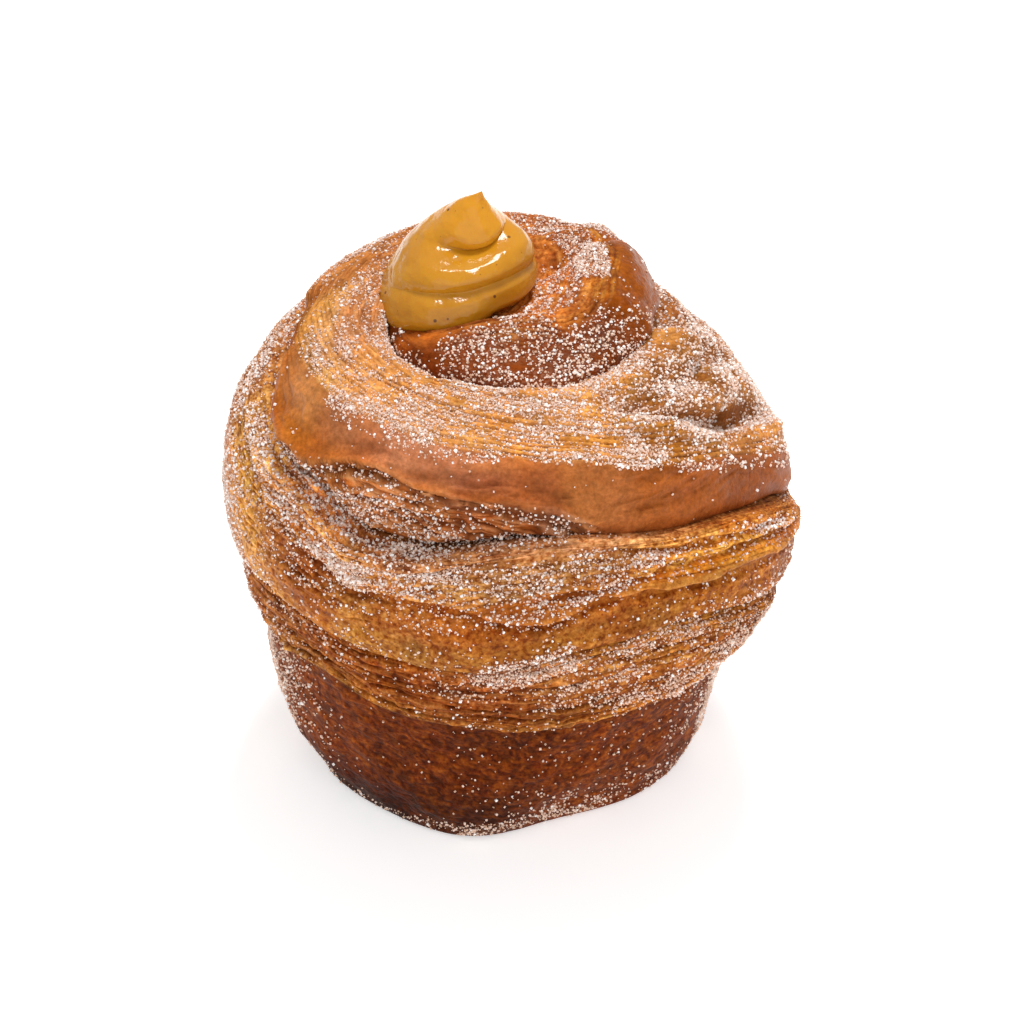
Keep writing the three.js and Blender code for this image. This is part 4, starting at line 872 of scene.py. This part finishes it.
def cream_point(th, h):
    k, t = np.arange(CREAM_KEYS + 1), h * CREAM_KEYS
    ang = np.array([a for a in CREAM_ANGLES] + [360 + CREAM_ANGLES[0]], float)
    rows = [CREAM_RING[a] for a in CREAM_ANGLES] + [CREAM_RING[CREAM_ANGLES[0]]]
    fine = np.linspace(0, CREAM_KEYS, 601)
    rz = np.array([[curve([(i, p[c]) for i, p in enumerate(row)], fine) for c in (0, 1)] for row in rows])
    slope = (np.roll(rz[:-1], -1, 0) - np.roll(rz[:-1], 1, 0)) / ((np.roll(ang[:-1], -1) - np.roll(ang[:-1], 1)) % 360)[:, None, None]
    slope = np.concatenate([slope, slope[:1]])
    a = th % 360
    i = np.clip(np.searchsorted(ang, a, side="right") - 1, 0, len(ang) - 2)
    w = ang[i + 1] - ang[i]
    u = (a - ang[i]) / w
    f = t / CREAM_KEYS * 600
    j = np.clip(f.astype(int), 0, 599)
    g = f - j

    def pick(table, n, c):
        return table[n, c, j] * (1 - g) + table[n, c, j + 1] * g

    r, z = ((1 + 2 * u) * (1 - u) ** 2 * pick(rz, i, c) + u * (1 - u) ** 2 * w * pick(slope, i, c)
            + u * u * (3 - 2 * u) * pick(rz, i + 1, c) + u * u * (u - 1) * w * pick(slope, i + 1, c) for c in (0, 1))
    cx, cy = (curve([(n, p[c]) for n, p in enumerate(CREAM_AXIS)], t) for c in (0, 1))
    fold = smooth(222, 262, a) * smooth(372, 352, a) + smooth(-1, 12, 12 - a) * (a < 12) * 0.6
    notch = 0.42 * np.exp(-np.sqrt((t - 4.0) ** 2 + 0.004) / 0.20) * (0.10 + 0.90 * smooth(200, 235, a)) * (0.45 + 0.55 * smooth(286, 262, a))
    notch = notch + 0.7 * fold * np.exp(-np.sqrt((t - 7.0) ** 2 + 0.0012) / 0.15)
    r = np.maximum(r - notch * smooth(0, 3, r), 0)
    # the peak's thin edge on its right side
    e = wrap(th - 338)
    r = r * (1 + 0.13 * np.exp(-np.sqrt(e * e + 6) / 15) * smooth(7.6, 9.2, t) * smooth(12, 11.2, t))
    q = np.radians(th)
    p = np.stack([cx + r * np.cos(q), cy + r * np.sin(q), z], -1)
    n = (0.26 * fbm(p[..., 0] / 4.2, p[..., 1] / 4.2, p[..., 2] / 3.4, seed=101, octaves=2) + 0.05 * fbm(p[..., 0] / 1.1, p[..., 1] / 1.6, p[..., 2] / 1.1, seed=102, octaves=2)) * smooth(0, 3, r)
    return p + np.stack([np.cos(q) * n, np.sin(q) * n, 0.5 * n], -1)


CT, CH = 288, 264
th_c = np.arange(CT) * 360.0 / CT
TC, HC = np.meshgrid(th_c, np.linspace(0, 1, CH + 1), indexing="ij")
CP = cream_point(TC, HC)
cidx = np.arange(CT * (CH + 1)).reshape(CT, CH + 1)
cmerge = np.arange(CT * (CH + 1) + 1)
cmerge[cidx[:, -1]] = cidx[0, -1]
cfull = np.vstack([cidx, cidx[:1]])
cq = np.stack([cfull[:-1, :-1], cfull[1:, :-1], cfull[1:, 1:], cfull[:-1, 1:]], -1).reshape(-1, 4)
ccen = CT * (CH + 1)
cpts = np.vstack([CP.reshape(-1, 3), [[*CREAM_AXIS[0], 80.5]]])
ctri = np.vstack([cq[:, [0, 1, 2]], cq[:, [0, 2, 3]], np.stack([cfull[1:, 0], cfull[:-1, 0], np.full(CT, ccen)], -1)])
ctri = cmerge[ctri]
ctri = ctri[(ctri[:, 0] != ctri[:, 1]) & (ctri[:, 1] != ctri[:, 2]) & (ctri[:, 2] != ctri[:, 0])]
cream = mesh_from("custard_cream", cpts, ctri)

# ------------------------------------------------------------------ sugar grains as joined meshes at true size
tri_pts = points[tris]
e1, e2 = tri_pts[:, 1] - tri_pts[:, 0], tri_pts[:, 2] - tri_pts[:, 0]
fn = np.cross(e1, e2)
area = np.linalg.norm(fn, axis=1) / 2
fn = fn / (2 * area[:, None] + 1e-12)
ledge = fn[:, 2] - (normals[tris].mean(1))[:, 2]
ledge = np.clip(1 + 1.3 * ledge, 0.35, 1.7)
share = np.clip(covered[tris].mean(1) * ledge, 0, 0.93)
# how many grains hide that share when they fall at random, in layers of one grain
layers_of = -np.log(1 - share)
big = (1 - 0.55 * fine_only_all[tris].mean(1))
tan_of = tanned_all[tris].mean(1)


def unit(v):
    return v / (np.linalg.norm(v, axis=-1, keepdims=True) + 1e-12)


def grains(name, size, spread, density, seed, kind, most, white):
    rs = np.random.RandomState(SEED + seed)
    cum = np.cumsum(area * layers_of * (big if kind == "box" else 1.0 + 0.8 * (1 - big)) * (1 - 0.72 * tan_of if white else 1 + 0.35 * tan_of))
    number = int(density * cum[-1])
    pick = np.searchsorted(cum, (np.arange(number) + rs.rand(number)) / number * cum[-1])
    pick = np.clip(pick, 0, len(tris) - 1)
    u, w = rs.rand(number), rs.rand(number)
    flip = u + w > 1
    u[flip], w[flip] = 1 - u[flip], 1 - w[flip]
    at = tri_pts[pick, 0] + e1[pick] * u[:, None] + e2[pick] * w[:, None]
    # not more than one of a kind in a cell of its own size
    _, first = np.unique(np.floor(at / (size * 0.95)).astype(np.int64) @ np.array([1, 4096, 4096 * 4096]), return_index=True)
    first = rs.permutation(first)[:most]
    pick, at = pick[first], at[first]
    number = len(pick)
    n = fn[pick]
    long = np.clip(size * np.exp(spread * rs.randn(number)), size * 0.7, size * 1.4)
    up = unit(n + 0.6 * rs.randn(number, 3))
    side = unit(np.cross(up, rs.randn(number, 3)))
    fore = np.cross(up, side)
    dims = np.stack([long, long * rs.uniform(0.72, 1.0, number), long * rs.uniform(0.6, 0.95, number)], -1) / 2
    at = at + n * (long * 0.22 + 0.30 * rs.rand(number) * np.maximum(share[pick] - 0.35, 0))[:, None]
    if kind == "box":
        c = np.array([(-1, -1, -1), (1, -1, -1), (1, 1, -1), (-1, 1, -1), (-1, -1, 1), (1, -1, 1), (1, 1, 1), (-1, 1, 1)], float)
        f = np.array([(0, 3, 2), (0, 2, 1), (4, 5, 6), (4, 6, 7), (0, 1, 5), (0, 5, 4), (1, 2, 6), (1, 6, 5), (2, 3, 7), (2, 7, 6), (3, 0, 4), (3, 4, 7)])
    else:
        c = np.array([(1, 0, 0), (-1, 0, 0), (0, 1, 0), (0, -1, 0), (0, 0, 1), (0, 0, -1)], float) * 1.2
        f = np.array([(0, 2, 4), (2, 1, 4), (1, 3, 4), (3, 0, 4), (2, 0, 5), (1, 2, 5), (3, 1, 5), (0, 3, 5)])
    jitter = 1 + 0.18 * rs.uniform(-1, 1, (number, len(c), 3))
    local = c[None] * dims[:, None, :] * jitter
    pts = at[:, None] + local[..., :1] * side[:, None] + local[..., 1:2] * fore[:, None] + local[..., 2:] * up[:, None]
    pts = pts.reshape(-1, 3)
    pts[:, 2] = np.maximum(pts[:, 2], 0.02)
    t = (f[None] + (np.arange(number) * len(c))[:, None, None]).reshape(-1, 3)
    return mesh_from(name, pts, t, smooth_faces=False)


sugars = [
    grains("sugar_coarse", 0.38, 0.12, 1.0, 1, "box", 16600, True),
    grains("sugar_medium", 0.32, 0.12, 1.7, 2, "box", 16600, False),
    grains("sugar_plain", 0.30, 0.12, 1.8, 3, "box", 16600, False),
    grains("sugar_small", 0.27, 0.14, 2.4, 4, "octa", 24900, True),
    grains("sugar_fine", 0.25, 0.14, 2.3, 5, "octa", 24900, False),
]

# ------------------------------------------------------------------ materials
def material(name):
    m = bpy.data.materials.new(name)
    m.use_nodes = True
    return m, m.node_tree, m.node_tree.nodes["Principled BSDF"]


def node(nt, kind, **values):
    n = nt.nodes.new(kind)
    for key, value in values.items():
        if key in n.inputs.keys():
            n.inputs[key].default_value = value
        else:
            setattr(n, key, value)
    return n


def attribute(nt, name):
    return node(nt, "ShaderNodeAttribute", attribute_name=name)


def maths(nt, op, a, b=None, c=None, clamp=False):
    n = nt.nodes.new("ShaderNodeMath")
    n.operation, n.use_clamp = op, clamp
    for k, x in enumerate((a, b, c)):
        if x is None:
            continue
        if isinstance(x, (int, float)):
            n.inputs[k].default_value = x
        else:
            nt.links.new(x, n.inputs[k])
    return n.outputs[0]


def ramp(nt, x, a, b, lo=0.0, hi=1.0):
    n = nt.nodes.new("ShaderNodeMapRange")
    n.interpolation_type = "SMOOTHSTEP"
    nt.links.new(x, n.inputs["Value"])
    for key, value in (("From Min", a), ("From Max", b), ("To Min", lo), ("To Max", hi)):
        n.inputs[key].default_value = value
    return n.outputs["Result"]


def mix(nt, mode, fac, a, b):
    n = nt.nodes.new("ShaderNodeMix")
    n.data_type, n.blend_type = "RGBA", mode
    for key, x in ((0, fac), (6, a), (7, b)):
        if isinstance(x, (int, float)):
            n.inputs[key].default_value = x
        elif isinstance(x, (tuple, list, np.ndarray)):
            n.inputs[key].default_value = (*[float(c) for c in x], 1.0)
        else:
            nt.links.new(x, n.inputs[key])
    return n.outputs[2]


def grain_noise(nt, vector, scale, detail=2.0, rough=0.5, stretch=None, seed=0.0):
    mp = nt.nodes.new("ShaderNodeMapping")
    nt.links.new(vector, mp.inputs["Vector"])
    mp.inputs["Scale"].default_value = stretch or (1, 1, 1)
    mp.inputs["Location"].default_value = (seed, seed * 0.7, seed * 1.3)
    n = node(nt, "ShaderNodeTexNoise", Scale=scale, Detail=detail, Roughness=rough)
    nt.links.new(mp.outputs[0], n.inputs["Vector"])
    return n.outputs["Fac"]


def crust_material():
    m, nt, p = material("baked_crust")
    tc = nt.nodes.new("ShaderNodeTexCoord")
    strip = nt.nodes.new("ShaderNodeUVMap")
    strip.uv_map = "Strip"
    obj = tc.outputs["Object"]
    tone_, flake_, gloss_, cover_ = (attribute(nt, k) for k in ("Tone", "Flake", "Gloss", "Cover"))
    even_ = attribute(nt, "Even")
    # streaks: fine lines that run along the dough, in centimetres
    streak = grain_noise(nt, strip.outputs[0], 1.0, 3.0, 0.6, (2.4, 9.0, 1), 3.1)
    hair = grain_noise(nt, strip.outputs[0], 1.0, 2.0, 0.6, (7.0, 28.0, 1), 5.2)
    mottle = grain_noise(nt, obj, 420.0, 3.0, 0.6, None, 1.0)
    pores = grain_noise(nt, obj, 1500.0, 2.0, 0.6, None, 2.0)
    s1 = ramp(nt, streak, 0.30, 0.70, 0.78, 1.18)
    s2 = ramp(nt, hair, 0.30, 0.70, 0.82, 1.16)
    lines = maths(nt, "MULTIPLY", s1, s2)
    k = maths(nt, "MULTIPLY_ADD", flake_.outputs["Fac"], 0.62, 0.10)
    lines = maths(nt, "MULTIPLY_ADD", maths(nt, "SUBTRACT", lines, 1.0), k, 1.0)
    spots = maths(nt, "MULTIPLY", ramp(nt, mottle, 0.3, 0.7, 0.84, 1.14), ramp(nt, pores, 0.3, 0.7, 0.86, 1.14))
    value = maths(nt, "MULTIPLY", lines, spots)
    freckle = grain_noise(nt, obj, 1350.0, 2.0, 0.55, None, 12.0)
    blotch = grain_noise(nt, obj, 520.0, 3.0, 0.65, None, 14.0)
    vec = nt.nodes.new("ShaderNodeCombineXYZ")
    for s in range(3):
        nt.links.new(value, vec.inputs[s])
    colour = mix(nt, "MULTIPLY", 1.0, tone_.outputs["Color"], vec.outputs[0])
    # small light blisters and deep brown pits, at two sizes
    amount = maths(nt, "MULTIPLY_ADD", even_.outputs["Fac"], -0.70, 0.90)
    for field, share_ in ((freckle, 1.0), (blotch, 0.8)):
        pale = mix(nt, "MULTIPLY", 1.0, colour, (1.32, 1.56, 1.95))
        deep = mix(nt, "MULTIPLY", 1.0, colour, (0.56, 0.35, 0.21))
        lit = maths(nt, "MULTIPLY", maths(nt, "MULTIPLY", ramp(nt, field, 0.52, 0.68), amount), share_)
        field_low = maths(nt, "MULTIPLY_ADD", amount, -0.03, field)
        low = maths(nt, "MULTIPLY", maths(nt, "MULTIPLY", ramp(nt, field_low, 0.48, 0.32), amount), share_)
        colour = mix(nt, "MIX", low, mix(nt, "MIX", lit, colour, pale), deep)
    # sugar dust too fine for grains of its own: a thin broken veil
    dust = grain_noise(nt, obj, 2100.0, 2.0, 0.6, None, 7.0)
    frost = ramp(nt, maths(nt, "ADD", dust, maths(nt, "MULTIPLY", cover_.outputs["Fac"], 0.42)), 0.56, 0.86)
    frost = maths(nt, "MULTIPLY", frost, ramp(nt, cover_.outputs["Fac"], 0.05, 0.30))
    colour = mix(nt, "MIX", maths(nt, "MULTIPLY", frost, 0.12), colour, rgb(238, 196, 168))
    nt.links.new(colour, p.inputs["Base Color"])
    rough = maths(nt, "MULTIPLY_ADD", gloss_.outputs["Fac"], -0.17, 0.62)
    rough = maths(nt, "ADD", rough, ramp(nt, mottle, 0.3, 0.7, -0.07, 0.07))
    rough = maths(nt, "ADD", rough, maths(nt, "MULTIPLY", frost, 0.1), None, True)
    nt.links.new(rough, p.inputs["Roughness"])
    bump_h = maths(nt, "MULTIPLY", streak, maths(nt, "MULTIPLY", flake_.outputs["Fac"], 0.75))
    bump_h = maths(nt, "ADD", bump_h, maths(nt, "MULTIPLY", hair, maths(nt, "MULTIPLY_ADD", flake_.outputs["Fac"], 0.28, 0.05)))
    bump_h = maths(nt, "ADD", bump_h, maths(nt, "MULTIPLY", pores, 0.22))
    bump_h = maths(nt, "ADD", bump_h, maths(nt, "MULTIPLY", mottle, 0.20))
    bump_h = maths(nt, "ADD", bump_h, maths(nt, "MULTIPLY", freckle, 0.30))
    bump_h = maths(nt, "ADD", bump_h, maths(nt, "MULTIPLY", frost, 0.22))
    b = node(nt, "ShaderNodeBump", Strength=0.7, Distance=0.0006)
    nt.links.new(bump_h, b.inputs["Height"])
    nt.links.new(b.outputs[0], p.inputs["Normal"])
    p.inputs["Specular IOR Level"].default_value = 0.11
    p.inputs["Specular Tint"].default_value = (1.0, 0.62, 0.34, 1)
    return m


def cream_material():
    m, nt, p = material("custard")
    tc = nt.nodes.new("ShaderNodeTexCoord")
    obj = tc.outputs["Object"]
    soft = grain_noise(nt, obj, 160.0, 2.0, 0.5, None, 4.0)
    ripple = grain_noise(nt, obj, 1100.0, 2.0, 0.5, (1.0, 0.6, 1.0), 6.0)
    split = nt.nodes.new("ShaderNodeSeparateXYZ")
    nt.links.new(obj, split.inputs[0])
    colour = mix(nt, "MIX", ramp(nt, soft, 0.3, 0.7), rgb(182, 121, 22), rgb(194, 133, 29))
    # lighter towards the top: painted light on the peak and painted shade on the lower rings under it
    colour = mix(nt, "MIX", ramp(nt, split.outputs[2], 0.0915, 0.0985), colour, rgb(208, 141, 28))
    for scale, near, far, lo, hi, dark in ((400.0, 0.14, 0.08, 0.66, 0.70, 0.85), (760.0, 0.14, 0.06, 0.66, 0.72, 0.5)):
        speck = node(nt, "ShaderNodeTexVoronoi", Scale=scale)
        nt.links.new(obj, speck.inputs["Vector"])
        chosen = nt.nodes.new("ShaderNodeSeparateColor")
        nt.links.new(speck.outputs["Color"], chosen.inputs[0])
        dot = maths(nt, "MULTIPLY", ramp(nt, speck.outputs["Distance"], near, far), ramp(nt, chosen.outputs[0], lo, hi))
        colour = mix(nt, "MIX", maths(nt, "MULTIPLY", dot, dark), colour, rgb(78, 34, 10))
    nt.links.new(colour, p.inputs["Base Color"])
    p.inputs["Roughness"].default_value = 0.15
    p.inputs["Subsurface Weight"].default_value = 0.18
    p.inputs["Subsurface Radius"].default_value = (1.0, 0.45, 0.12)
    p.inputs["Subsurface Scale"].default_value = 0.003
    p.inputs["Specular IOR Level"].default_value = 0.38
    b = node(nt, "ShaderNodeBump", Strength=0.5, Distance=0.0005)
    dents = grain_noise(nt, obj, 430.0, 1.0, 0.5, (1.0, 0.7, 1.4), 9.0)
    uneven = maths(nt, "ADD", maths(nt, "MULTIPLY", soft, 0.6), maths(nt, "MULTIPLY", ripple, 0.40))
    nt.links.new(maths(nt, "MULTIPLY_ADD", dents, 0.75, uneven), b.inputs["Height"])
    nt.links.new(b.outputs[0], p.inputs["Normal"])
    return m


def sugar_material(name, colour, rough):
    m, nt, p = material(name)
    p.inputs["Base Color"].default_value = (*rgb(*colour), 1)
    p.inputs["Roughness"].default_value = rough
    p.inputs["Specular IOR Level"].default_value = 0.5
    return m


dough.data.materials.append(crust_material())
cream.data.materials.append(cream_material())
whites = [((253, 247, 243), 0.25), ((238, 208, 190), 0.30), ((218, 180, 153), 0.35), ((250, 234, 227), 0.30), ((226, 190, 166), 0.4)]
for ob, (c, r) in zip(sugars, whites):
    ob.data.materials.append(sugar_material(ob.name + "_white", c, r))

# ------------------------------------------------------------------ frame
for ob in [dough, cream] + sugars:
    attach(ob, "root")
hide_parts("dough_body")
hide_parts("cream_dollop")

# ------------------------------------------------------------------ stage, light and camera
me = bpy.data.meshes.new("floor")
me.from_pydata([(-3, -3, 0), (3, -3, 0), (3, 3, 0), (-3, 3, 0)], [], [(0, 1, 2, 3)])
floor = bpy.data.objects.new("floor", me)
bpy.context.scene.collection.objects.link(floor)
fm, fnt, fp = material("pale_floor")
fp.inputs["Base Color"].default_value = (0.93, 0.93, 0.93, 1)
fp.inputs["Roughness"].default_value = 0.9
fp.inputs["Specular IOR Level"].default_value = 0.1
fp.inputs["Emission Color"].default_value = (1, 1, 1, 1)
fp.inputs["Emission Strength"].default_value = 0.47
me.materials.append(fm)

TARGET = Vector((0.0022, 0.0, 0.0445))
DISTANCE, ELEVATION = 0.7, math.radians(36)
cam = bpy.data.cameras.new("camera")
camera = bpy.data.objects.new("camera", cam)
bpy.context.scene.collection.objects.link(camera)
toward = Vector((0, -math.cos(ELEVATION), math.sin(ELEVATION)))
camera.location = TARGET + toward * DISTANCE
camera.rotation_euler = toward.to_track_quat("Z", "Y").to_euler()
cam.sensor_width, cam.lens = 36, 36 * DISTANCE / 0.17152
cam.clip_start, cam.clip_end = 0.01, 20
bpy.context.scene.camera = camera

world = bpy.data.worlds.new("studio")
bpy.context.scene.world = world
world.use_nodes = True
world.node_tree.nodes["Background"].inputs[0].default_value = (1, 1, 1, 1)
world.node_tree.nodes["Background"].inputs[1].default_value = 0.50


def area_light(name, place, size, energy, size_y=None):
    light = bpy.data.lights.new(name, "AREA")
    light.size, light.energy = size, energy
    if size_y:
        light.shape, light.size_y = "RECTANGLE", size_y
    o = bpy.data.objects.new(name, light)
    bpy.context.scene.collection.objects.link(o)
    o.location = place
    o.rotation_euler = (Vector(place) - TARGET).to_track_quat("Z", "Y").to_euler()


area_light("key", (0.08, 0.34, 0.93), 0.26, 6.6)
area_light("fill", (0.10, -0.75, 0.50), 1.5, 5.2)
bpy.context.scene.view_settings.view_transform = "Standard"
